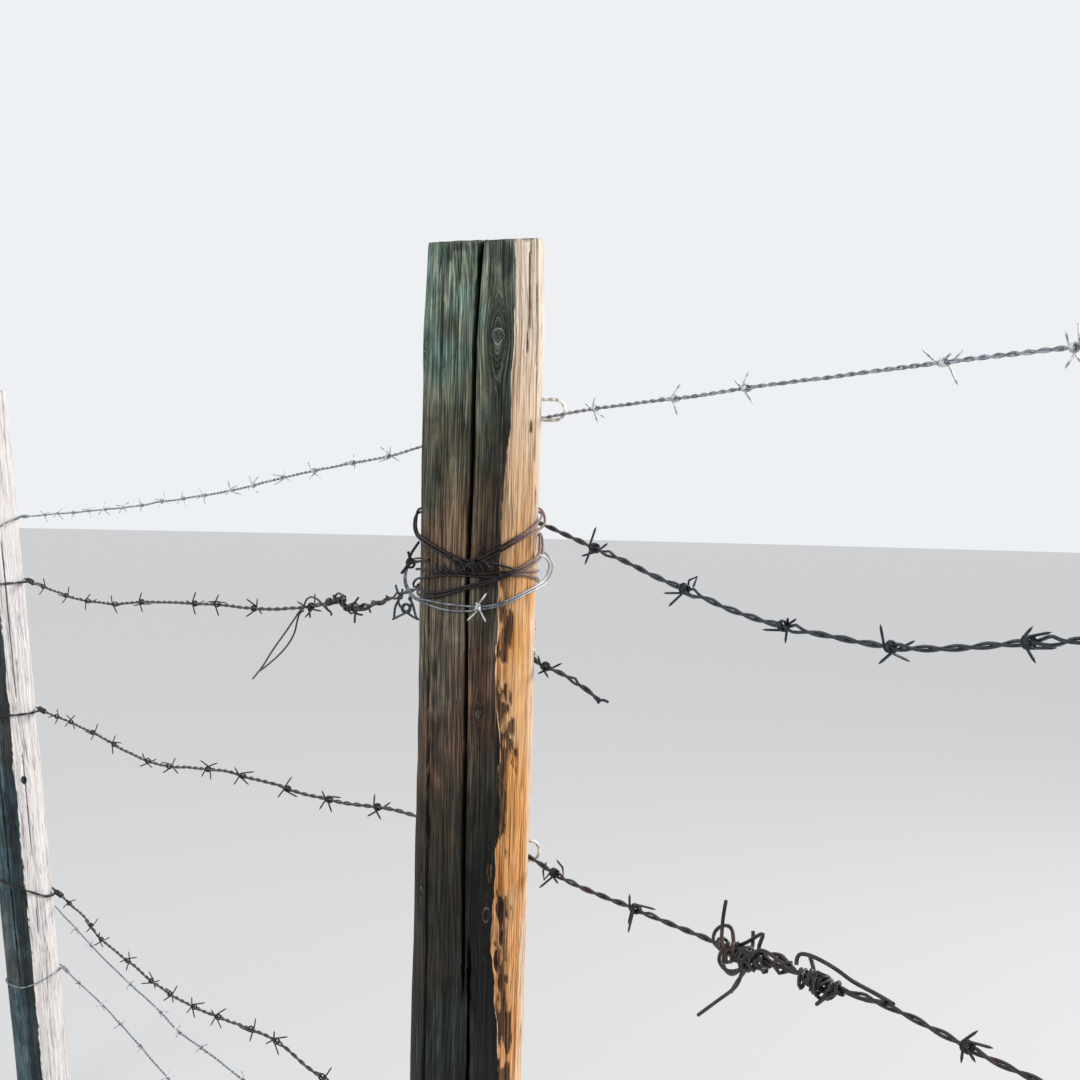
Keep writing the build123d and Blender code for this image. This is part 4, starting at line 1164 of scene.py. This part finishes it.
class FENCE_OT_main_ties(bpy.types.Operator):
    """Wind the loose strands, the galvanized hoop and its barb round the main post"""
    bl_idname = "fence.main_ties"
    bl_label = "Main ties"

    # Strands round the main post as (degrees, height, out) in millimetres
    UPPER = (
        ((91, 1149, 2), (140, 1156, 2), (190, 1160, 2), (222, 1159, 2.4), (242, 1157, 3.2),
         (248.5, 1149, 4.2), (249.5, 1141.5, 4.6), (254, 1135.8, 3), (270.7, 1132.6, 1.9),
         (294, 1124.6, 1.6), (308.4, 1118.9, 1.6), (322, 1114, 1.7), (331.5, 1113.6, 1.7),
         (341.7, 1117.9, 1.6), (352, 1124.2, 1.6), (363, 1129.8, 1.6), (375, 1135.5, 1.6),
         (390, 1141.7, 1.8), (403, 1146.7, 2.4), (414, 1151.7, 3), (425, 1155, 3.4), (440, 1157.5, 3),
         (456, 1158.5, 2)),
        ((93, 1146, 2), (140, 1152.5, 2), (190, 1156.5, 2), (222, 1155.5, 2.6), (240, 1154, 4.2),
         (248, 1148, 5.6), (249, 1141.4, 6), (253, 1135, 4.4), (267, 1130, 2.2), (292, 1122.1, 1.6),
         (305.5, 1116.6, 1.6), (314, 1111.6, 1.7), (320.5, 1108.4, 1.8), (329, 1108.9, 1.8),
         (337, 1112.8, 1.7), (348, 1118, 1.6), (363, 1126.2, 1.6), (379, 1133.6, 1.8),
         (398.4, 1140.4, 3), (412, 1143.6, 4.6), (423, 1147, 6), (425, 1152.5, 6.2), (428, 1157.6, 4.2),
         (440, 1161, 2.6), (458, 1162, 2)),
    )
    LOWER = (
        ((100, 1131, 2), (84, 1137, 2.6), (74, 1138.6, 3.2), (66, 1133.4, 4.2), (63, 1126.4, 5),
         (58, 1118.7, 4.4), (47, 1114.6, 3.8), (37.4, 1111.8, 3.8), (19.9, 1106.5, 4.2),
         (3.8, 1101.2, 4), (-9.9, 1096.3, 2.6), (-22.8, 1092.4, 1.8), (-35.7, 1089.1, 1.6),
         (-49.4, 1085.5, 1.6), (-61.6, 1081.9, 1.6), (-75, 1080, 1.7), (-95, 1080.5, 1.8),
         (-115, 1083, 2.2), (-145, 1090, 2), (-180, 1098, 1.8), (-225, 1104, 1.6)),
        ((78, 1136, 2), (66, 1138, 2.4), (55, 1135.4, 2.4), (53.5, 1129, 3), (49.4, 1121.6, 4),
         (41, 1117, 4.2), (32, 1114.8, 4.2), (19.8, 1109.9, 4.4), (8.3, 1105, 4.4), (-4, 1100.4, 3.4),
         (-14, 1096.9, 2), (-30, 1093, 1.6), (-46, 1088.6, 1.6), (-62, 1085.2, 1.6), (-78, 1084, 1.8),
         (-100, 1086, 2), (-125, 1090, 2)),
    )
    LEVEL = (
        ((-118, 1103, 3.2), (-111.5, 1103.6, 3.8), (-100, 1104.2, 2.4), (-88.2, 1104.4, 1.6),
         (-67.3, 1102.8, 1.5), (-49.8, 1104, 1.5), (-36.1, 1103.6, 1.5), (-23.1, 1102.8, 1.5),
         (-10.1, 1103.6, 1.5), (3.7, 1104.6, 1.5), (19.9, 1105.2, 1.5), (40, 1105, 1.6),
         (58, 1104.5, 2), (72, 1104.5, 1.8)),
        ((-111, 1090, 1.6), (-112.4, 1087.2, 2.8), (-112, 1086.8, 5.2), (-111.8, 1090, 6.4),
         (-110.5, 1094, 4.2), (-101, 1096, 2), (-87.9, 1097, 1.7), (-67.3, 1099.4, 1.6),
         (-49.7, 1101, 1.5), (-33, 1100.6, 1.5), (-18, 1100, 1.5), (-5, 1100.2, 1.5),
         (8.3, 1101.7, 1.5), (23.9, 1101.8, 1.5), (41.4, 1100, 1.8), (60, 1097, 2.2), (72, 1094, 2)),
        ((-47, 1118, 2), (-44, 1114, 4), (-34, 1110, 4.4), (-24, 1111.5, 4.2), (-15.6, 1113.1, 3.6),
         (-4.9, 1110.8, 2), (6.6, 1108.3, 1.5), (13, 1106.8, 1.5)),
        ((-40, 1104.6, 4), (-34, 1109, 5), (-27, 1116, 4.6), (-24, 1122, 3.4), (-22.4, 1127, 2.6)),
    )
    # Strands wound loosely round the first level one: from and to in degrees, turns, lift in
    # millimetres, seed
    TANGLES = ((-47, -17, 3.4, 4.2, 5), (-66, -50, 1.5, 3.2, 8), (-44, -12, 2.6, 8.6, 13),
               (-40, -20, 3.3, 6.4, 21))
    HOOP = (
        ((200, 1112, 2.4), (222, 1113, 5), (238, 1112.5, 8), (246, 1108.6, 10), (249, 1101, 12.4),
         (249, 1093.4, 13.2), (248.5, 1086.5, 10.6), (252, 1080.6, 6.4), (262, 1078.6, 4.6),
         (281, 1077.9, 4.6), (300.2, 1075.9, 3.4), (317.9, 1074.7, 2.4), (332.4, 1073.9, 2.2),
         (342.8, 1074.2, 2.2), (356, 1076.6, 1.8), (372.2, 1082.2, 1.4), (391.2, 1088.4, 1.8),
         (408, 1092.6, 4), (420, 1096, 7.4), (424.4, 1102.5, 9.8), (424, 1110.2, 11.8),
         (422, 1116, 8.6), (416, 1118.6, 4.6), (408, 1119, 2.4)),
        ((202, 1109, 3), (224, 1110.5, 6.4), (238, 1110, 10), (246, 1106.6, 12.2), (248.8, 1099, 14),
         (248.8, 1090.8, 14.2), (248.4, 1083.6, 11.2), (252, 1078.4, 6.2), (262, 1076.6, 4),
         (279, 1075.2, 3.4), (295.2, 1071.6, 2.4), (311, 1069.4, 2), (324.7, 1069.6, 2),
         (334.5, 1070.6, 2.6), (343, 1072.2, 2), (356.1, 1074.6, 1.8), (372.2, 1079.9, 1.4),
         (391, 1086, 1.8), (410, 1090.6, 5), (422, 1094, 9), (424.2, 1101.5, 13), (424, 1110.4, 15),
         (424.4, 1117.4, 11.4), (428, 1121.5, 6), (436, 1124, 3.6), (450, 1126, 2)),
    )
    # The knot at the post's left edge, as the upper second wire's end leaves it
    KNOT = (
        ((-108, 1128, 1.6), (-112, 1125, 3.4), (-112, 1119, 7.6), (-111.7, 1113, 10),
         (-111.6, 1108.6, 9.6), (-107, 1109.4, 6), (-98, 1111, 3), (-88.5, 1112.2, 2),
         (-77.8, 1113.3, 1.8)),
        ((-111.6, 1119.4, 11), (-111.7, 1113.5, 9), (-111.7, 1108.5, 10.4), (-111.4, 1103.6, 13.6),
         (-111.3, 1099.2, 17)),
        ((-111.6, 1111.4, 5.6), (-112, 1113.4, 8), (-111.4, 1112, 11.6), (-112, 1108, 12.4),
         (-111.4, 1104.6, 10), (-112, 1104.8, 6.4), (-111.4, 1108, 4.6), (-110.8, 1110.6, 6.4),
         (-111.2, 1110.4, 9.4), (-111.8, 1107, 9.6)),
    )

    def execute(self, context):
        kind = wire_kind("old")
        thin = wire_kind("new")
        half = kind.strand / 2
        groups = (("second_right_tie", self.UPPER, half), ("second_left_tie", self.LOWER + self.KNOT, half),
                  ("stray_strand", self.LEVEL, half * 0.92),
                  ("galvanized_tie", self.HOOP, thin.strand * 0.54))
        for node, paths, radius in groups:
            lines = [(on_bark(MAIN, path), radius) for path in paths]
            if node == "stray_strand":
                level = lines[0][0]
                lines += [(self.tangle(level, *tangle), radius) for tangle in self.TANGLES]
            if node == "galvanized_tie":
                finish_rods(node, lines, "hoop", sides=8)
            else:
                finish_rods(node, lines, "tie", sides=8)
        self.hoop_barb(thin)
        return {"FINISHED"}

    def tangle(self, line, low, high, turns, lift, seed):
        """A strand wound loosely round a level line, between two bearings."""
        bearing = np.degrees(np.arctan2(line[:, 1], line[:, 0]))
        part = evenly(line[(bearing > low) & (bearing < high)], 0.0018)
        _, _, up = square_to(part)
        outward = unit(part * (1, 1, 0))
        share = np.linspace(0, 1, len(part))
        angle = 2 * math.pi * turns * share + 0.5 * wave(share, 0.2, seed)
        tall = 0.0034 * (1 + 0.25 * wave(share, 0.12, seed + 1))
        return (part + up * (lift / 1000 + np.cos(angle) * tall)[:, None]
                + outward * (0.0028 + 0.0020 * np.sin(angle))[:, None])

    def hoop_barb(self, kind):
        """Wind the hoop's barb where it crosses the front of the post."""
        centre, before, after = MAIN.beside(np.array([-23.0, -30.0, -16.0]), 1.0724, 0.0024)
        ahead = unit(after - before)
        up = np.array((0, 0, 1.0))
        level = np.cross(up, ahead)
        tips = in_metres([(-5, 14, 8.5), (-7, -11, 8), (-4, -10.5, -11), (-8, 5, -4)])
        finish_rods("galvanized_tie_barb", wind_barb(centre, ahead, level, up, kind, tips),
                    kind.barb_finish, sides=8)


class FENCE_OT_staples(bpy.types.Operator):
    """Drive the fencing staples over the wires"""
    bl_idname = "fence.staples"
    bl_label = "Staples"

    # Of the staples' wire
    RADIUS = 0.00155

    def execute(self, context):
        self.drive("top_staple", [self.staple(MAIN, 62, 1240.2, 1258.7, 21)])
        self.drive("third_staple", [self.staple(MAIN, 76, 839.6, 858, 10.8)])
        rows = ((1026, "old"), (520, "old"), (428, "new"), (285, "new"))
        self.drive("main_post_staples", [self.over(MAIN, 94, z, wire_kind(name)) for z, name in rows])
        for side, post, degrees in (("far", FAR, 150), ("near", NEAR, 30)):
            lines = []
            for row in FENCE_OT_end_ties.TIED:
                wire = row[1 if post is FAR else 2]
                end = wire_line(wire)[0 if post is FAR else -1]
                z = end[2] * 1000 - row[3] * 0.4
                lines.append(self.over(post, degrees, z, wire_kind(WIRES[wire][1])))
            self.drive(f"{side}_post_staples", lines)
        return {"FINISHED"}

    def drive(self, node, lines):
        finish_rods(node, [(line, self.RADIUS) for line in lines], "staple", "driven", 8)

    def staple(self, post, degrees, low, high, proud):
        """Two legs out of the timber and the round crown between them. Millimetres."""
        half = (high - low) / 2
        bow = min(half, 0.7 * proud)
        stations = [(high, -4)]
        for turn in np.radians(np.linspace(90, -90, 13)):
            stations.append((low + half + half * math.sin(turn), proud - bow + bow * math.cos(turn)))
        stations.append((low, -4))
        z, out = np.array(stations).T / 1000
        return post.beside(np.full(len(z), float(degrees)), z, out)

    def over(self, post, degrees, z, kind):
        """A staple driven close over a wire."""
        half = kind.strand * 1000 + 3.2
        return self.staple(post, degrees, z - half, z + half, kind.strand * 2000 + 3.8)


class FENCE_OT_mends(bpy.types.Operator):
    """Wind the mends on the second and third wires, and leave their cut ends sticking out"""
    bl_idname = "fence.mends"
    bl_label = "Mends"

    # Strands wound round a wire: lift, from and to along the fence, turns, distance from the
    # wire's middle, seed, looseness
    LEFT_COILS = (
        (0, -0.506, -0.318, 4.2, 0.0034, 1, 0.15), (0, -0.500, -0.345, 3.0, 0.0036, 4, 0.15),
        (0, -0.440, -0.414, 2.6, 0.0050, 2, 0.35), (0.0035, -0.474, -0.452, 2.4, 0.0042, 3, 0.35),
        (0, -0.504, -0.488, 1.6, 0.0032, 5, 0.15))
    SPLICE_COILS = (
        (0, 0.340, 0.400, 5.2, 0.0042, 11, 0.55), (-0.0025, 0.350, 0.402, -3.6, 0.0060, 12, 0.6),
        (-0.0025, 0.356, 0.398, 3.2, 0.0072, 13, 0.5), (0, 0.384, 0.440, 2.0, 0.0042, 14, 0.5),
        (0, 0.443, 0.494, 5.2, 0.0041, 15, 0.55), (-0.0025, 0.450, 0.488, -3.4, 0.0056, 16, 0.6),
        (-0.0025, 0.454, 0.482, 2.4, 0.0062, 17, 0.5))
    # Points of the mends' loose strands, as (x, y, z) in millimetres
    LEFT_SPLICE = (
        ((-590, 27, 1030), (-578, 27, 1033), (-571, 26, 1038), (-558, 24, 1045.5), (-536, 23, 1050),
         (-514, 24, 1047.5), (-498, 26, 1040), (-488, 28, 1036)),
        ((-372, 36, 1042), (-380, 37, 1046), (-395, 38, 1051), (-405, 34, 1045), (-414, 33, 1040),
         (-416, 34, 1027)),
        ((-408, 35, 1056), (-414, 33, 1050), (-422, 31, 1046), (-424, 35, 1039), (-414, 38, 1036),
         (-401, 37, 1037)),
        ((-477.6, 26, 1051), (-481, 25, 1046), (-488, 24, 1042), (-492, 28, 1037), (-486, 31, 1034),
         (-484, 30, 1031)),
        ((-548, 26, 1024), (-548.4, 25, 1031), (-552, 24, 1036), (-556, 27, 1037), (-557, 30, 1032)),
    )
    BENT_END = (
        ((-308, 38, 1038.5), (-294, 39, 1042.5), (-279, 40, 1046.5), (-267, 41, 1052), (-261, 41, 1060),
         (-266, 40, 1066)),
        ((-246.6, 42, 1042.4), (-262, 42.5, 1043.6), (-279, 43, 1047), (-292, 41, 1051),
         (-300, 40, 1057), (-296, 39, 1063)),
        ((-307.5, 39, 1040), (-307, 39, 1046), (-305, 39, 1052), (-298, 40, 1060), (-288, 40, 1064)),
        ((-249, 41, 1044), (-253, 40, 1051), (-257, 40, 1058), (-266, 39, 1063)),
        ((-302, 38, 1075), (-299, 38, 1070), (-295, 39, 1066), (-292, 41, 1061)),
        ((-293, 42, 1071), (-289, 41, 1067), (-287, 39, 1062)),
    )
    HANGING_TAIL = (
        ((-575, 26, 1033), (-586.6, 25, 1029.6), (-600.8, 24.5, 1019.9), (-610.7, 24, 1014),
         (-629.2, 22.5, 1001.6), (-660.9, 20.5, 982.7), (-685.3, 19, 967.1), (-710, 18.2, 950),
         (-745.2, 16.5, 932.3)),
        ((-577, 27, 1030), (-588.8, 26, 1027.7), (-595.9, 25.5, 1017.3), (-600, 24.5, 1002.4),
         (-617.1, 22, 986.7), (-643.8, 20, 972.6), (-669.7, 18, 961.4), (-705, 16.4, 948),
         (-722, 16, 943)),
    )
    SPLICE_ENDS = (
        ((352, 50, 875), (347, 51, 862.6), (344.5, 52, 853.5), (347, 50, 845.4), (354, 48, 840),
         (364, 49, 836)),
        ((362, 52, 836), (356, 55, 846.5), (350, 57, 855), (336, 57, 853), (328, 55, 846),
         (332, 52, 839.5), (343.6, 50, 838), (352, 51, 836)),
        ((346, 57, 842), (338, 57, 830), (342, 56, 821.5), (355, 54, 820), (368, 52, 826),
         (376, 51, 834)),
        ((356, 47, 842), (345, 48, 832), (349, 50, 824.5), (359, 52, 823), (368, 55, 828)),
        ((378, 51, 834), (374, 51, 826), (368, 52, 817.3), (360, 53, 810.7), (335, 53, 794.6),
         (312, 53, 779.2)),
        ((374, 57, 832), (369, 56, 825), (363, 54, 817), (356, 54, 808)),
        ((352, 58, 840), (361, 60, 844), (371, 60, 849.2), (383, 59, 856), (392, 58, 859.5),
         (388, 57, 851), (386, 57, 846), (396, 57, 843.5), (408, 56, 840)),
        ((371, 62, 856), (371.5, 62, 849), (373, 60, 842), (378, 57, 836)),
    )
    SPLICE_LOOPS = (
        ((386, 50, 838), (392, 48, 844), (400, 47, 850), (411, 47, 852), (421, 49, 849),
         (432, 51, 845.5), (444, 53, 844)),
        ((400, 60, 846), (412, 59, 849), (422, 57, 847), (436, 55, 844)),
        ((441, 53, 849), (437, 55, 856), (452, 57, 858.2), (480, 58, 855.6), (498, 58, 851.6),
         (517, 57, 851), (534, 56, 850.4), (548, 55, 849.4)),
        ((476, 58, 842), (495, 57, 843), (512, 55, 843.6), (529, 54, 846.8), (542, 53, 849)),
        ((446, 60, 857), (450, 61, 849), (454, 60, 840), (458, 57, 836)),
        ((492, 52, 843), (486, 50, 840), (480, 49, 836), (472, 49, 830)),
    )

    def execute(self, context):
        half = wire_kind("old").strand / 2
        self.mend("left_splice", self.wind("second_wire_left", self.LEFT_COILS), self.LEFT_SPLICE, half)
        self.mend("bent_end", [self.ring((-0.278, 0.041, 1.0517), 0.0046)], self.BENT_END, half * 1.1, "old")
        self.mend("hanging_tail", [], self.HANGING_TAIL, half * 0.9)
        self.mend("splice_coils", self.wind("third_wire", self.SPLICE_COILS), (), half * 1.15)
        self.mend("splice_ends", [], self.SPLICE_ENDS, half * 1.2)
        self.mend("splice_loops", [], self.SPLICE_LOOPS, half * 1.2)
        return {"FINISHED"}

    def wind(self, wire, rows):
        """Coils round a wire, one for each row."""
        line = wire_line(wire)
        return [coil(line + (0, 0, lift), *row) for lift, *row in rows]

    def mend(self, node, wound, loose, radius, finish="rusty"):
        lines = [(line, radius) for line in wound] + [(in_space(points), radius) for points in loose]
        finish_rods(node, lines, finish, sides=8)

    def ring(self, centre, radius):
        """A small ring of one and a half turns that faces along the fence."""
        steps = 28
        turn = np.linspace(0, 3 * math.pi, steps)
        ahead = np.linspace(-0.002, 0.002, steps)
        return np.array(centre) + np.stack([ahead, np.cos(turn) * radius, np.sin(turn) * radius], -1)


class FENCE_OT_cut_tail(bpy.types.Operator):
    """Leave the cut wire behind the main post, with its barb and its two splayed strands"""
    bl_idname = "fence.cut_tail"
    bl_label = "Cut tail"

    # Points of its line, as (x, y, z) in millimetres
    LINE = ((-32, 55, 1030), (-10, 55, 1026.5), (8, 55, 1022.5), (18, 55, 1020), (30, 55, 1018.8),
            (46, 55, 1017.2), (66, 54, 1015.4), (86, 54, 1012.6), (106, 54, 1008), (124, 54, 1003.8),
            (136, 54, 999.6))

    def execute(self, context):
        kind = wire_kind("old")
        line = in_space(self.LINE)
        pair = strands(line, kind, 31, ((0.128, 0.9), (0.052, 0.4)))
        splayed = ([(0.1375, 0.0525, 0.9975)], [(0.1415, 0.0555, 1.0005), (0.1475, 0.0565, 0.9995)])
        lines = [(np.concatenate([strand, end]), kind.strand / 2) for strand, end in zip(pair, splayed)]
        finish_rods("cut_tail", lines, kind.finish, "strands", 8)
        ahead, level, up = square_to(line)
        at = int(np.argmin(np.abs(line[:, 0] - 0.029)))
        tips = in_metres([(-6.3, 9.5, -3), (3, -10.5, 3), (-6.6, -7.2, -3), (13.6, 3.5, 4)])
        finish_rods("cut_tail_barb", wind_barb(line[at], ahead[at], level[at], up[at], kind, tips),
                    kind.barb_finish, sides=8)
        return {"FINISHED"}


# Stage

class FENCE_OT_stage(bpy.types.Operator):
    """Lay the pale floor, hang the soft lamps and set the camera at the photograph's view"""
    bl_idname = "fence.stage"
    bl_label = "Stage"

    FLOOR_RADIUS = 60
    # Where the camera stands, and its turn from the row, its dip and its roll in degrees
    CAMERA_AT = (1.4687, -0.6494, 1.1638)
    CAMERA_TURN = (25.8103, 1.125, 1.3338)
    CAMERA_SENSOR = 36
    # The lamps look at this point
    LIT = Vector((0, 0, 1.0))

    def execute(self, context):
        settings = context.scene.fence_stage
        self.lay_floor(settings)
        self.light_room(context.scene, settings)
        self.hang_lamp("Key lamp", (0.8, 5.2, 3.5), 2.2, settings.key)
        self.hang_lamp("Fill lamp", (1.2, -3.6, 2.4), 2.6, settings.fill)
        self.set_camera(context.scene, settings)
        return {"FINISHED"}

    def lay_floor(self, settings):
        select_none()
        bpy.ops.mesh.primitive_circle_add(vertices=96, radius=self.FLOOR_RADIUS, fill_type="NGON",
                                          location=(0, 0, -0.0005))
        floor = bpy.context.object
        bpy.ops.object.transform_apply(location=True, rotation=False, scale=False)
        floor.name = "floor"
        material, tree, shader = new_material("Pale floor")
        shader.inputs["Base Color"].default_value = (*settings.floor_colour, 1)
        shader.inputs["Roughness"].default_value = 0.9
        glow = put(tree, "ShaderNodeEmission", {"Color": (0.90, 0.91, 0.92, 1), "Strength": 1.0})
        share = maths(tree, "MULTIPLY", self.shown(tree), settings.floor_glow)
        mixed = put(tree, "ShaderNodeMixShader", {0: share, 1: shader.outputs[0], 2: glow.outputs[0]})
        tree.links.new(mixed.outputs[0], tree.nodes["Material Output"].inputs["Surface"])
        floor.data.materials.append(material)

    def light_room(self, scene, settings):
        world = bpy.data.worlds.new("Room")
        scene.world = world
        world.use_nodes = True
        tree = world.node_tree
        tree.nodes.clear()
        seen = put(tree, "ShaderNodeBackground", {"Color": (0.90, 0.92, 0.95, 1), "Strength": 0.95})
        even = put(tree, "ShaderNodeBackground", {"Color": (0.93, 0.96, 1.0, 1), "Strength": settings.room})
        mixed = put(tree, "ShaderNodeMixShader", {0: self.shown(tree), 1: even.outputs[0], 2: seen.outputs[0]})
        put(tree, "ShaderNodeOutputWorld", {"Surface": mixed.outputs[0]})

    def shown(self, tree):
        """1 for what the camera sees, straight or in a reflection."""
        rays = put(tree, "ShaderNodeLightPath").outputs
        reflected = maths(tree, "MAXIMUM", rays["Is Glossy Ray"], rays["Is Transmission Ray"])
        return maths(tree, "MAXIMUM", rays["Is Camera Ray"], reflected)

    def hang_lamp(self, name, place, size, power):
        lamp = bpy.data.lights.new(name, "AREA")
        lamp.size = size
        lamp.energy = power
        holder = bpy.data.objects.new(name, lamp)
        holder.location = place
        holder.rotation_euler = (self.LIT - Vector(place)).to_track_quat("-Z", "Y").to_euler()
        bpy.context.scene.collection.objects.link(holder)

    def set_camera(self, scene, settings):
        yaw, pitch, roll = (math.radians(angle) for angle in self.CAMERA_TURN)
        level = Vector((-math.cos(yaw), math.sin(yaw), 0))
        beside = Vector((level.y, -level.x, 0))
        ahead = level * math.cos(pitch) - Vector((0, 0, math.sin(pitch)))
        above = level * math.sin(pitch) + Vector((0, 0, math.cos(pitch)))
        right = beside * math.cos(roll) + above * math.sin(roll)
        up = above * math.cos(roll) - beside * math.sin(roll)
        camera = bpy.data.cameras.new("Camera")
        camera.lens = settings.lens
        camera.sensor_width = self.CAMERA_SENSOR
        camera.clip_end = 200
        holder = bpy.data.objects.new("Camera", camera)
        turn = Matrix((right, up, -ahead)).transposed()
        holder.matrix_world = Matrix.Translation(self.CAMERA_AT) @ turn.to_4x4()
        scene.collection.objects.link(holder)
        scene.camera = holder
        scene.view_settings.view_transform = "Standard"


class FENCE_PT_panel(bpy.types.Panel):
    """The fence's pieces, in the order that they are made"""
    bl_label = "Barbed wire fence"
    bl_idname = "FENCE_PT_panel"
    bl_space_type = "VIEW_3D"
    bl_region_type = "UI"
    bl_category = "Fence"

    def draw(self, context):
        for operator in OPERATORS:
            self.layout.operator(operator.bl_idname)
        for group in (context.scene.fence_posts, context.scene.fence_wires, context.scene.fence_stage):
            for name in group.bl_rna.properties.keys():
                if name not in ("rna_type", "name"):
                    self.layout.prop(group, name)


OPERATORS = (FENCE_OT_main_post, FENCE_OT_end_posts, FENCE_OT_wires, FENCE_OT_end_ties, FENCE_OT_main_ties,
             FENCE_OT_staples, FENCE_OT_mends, FENCE_OT_cut_tail, FENCE_OT_stage)
SETTINGS = ((PostSettings, "fence_posts"), (WireSettings, "fence_wires"), (StageSettings, "fence_stage"))


def register():
    for group, name in SETTINGS:
        bpy.utils.register_class(group)
        setattr(bpy.types.Scene, name, PointerProperty(type=group))
    for made in OPERATORS + (FENCE_PT_panel,):
        bpy.utils.register_class(made)


def unregister():
    for made in (FENCE_PT_panel,) + OPERATORS[::-1]:
        bpy.utils.unregister_class(made)
    for group, name in SETTINGS[::-1]:
        delattr(bpy.types.Scene, name)
        bpy.utils.unregister_class(group)


def main():
    register()
    make_materials()
    bpy.ops.fence.main_post()
    bpy.ops.fence.end_posts()
    bpy.ops.fence.wires()
    bpy.ops.fence.end_ties()
    bpy.ops.fence.main_ties()
    bpy.ops.fence.staples()
    bpy.ops.fence.mends()
    bpy.ops.fence.cut_tail()
    bpy.ops.fence.stage()


if __name__ == "__main__":
    main()
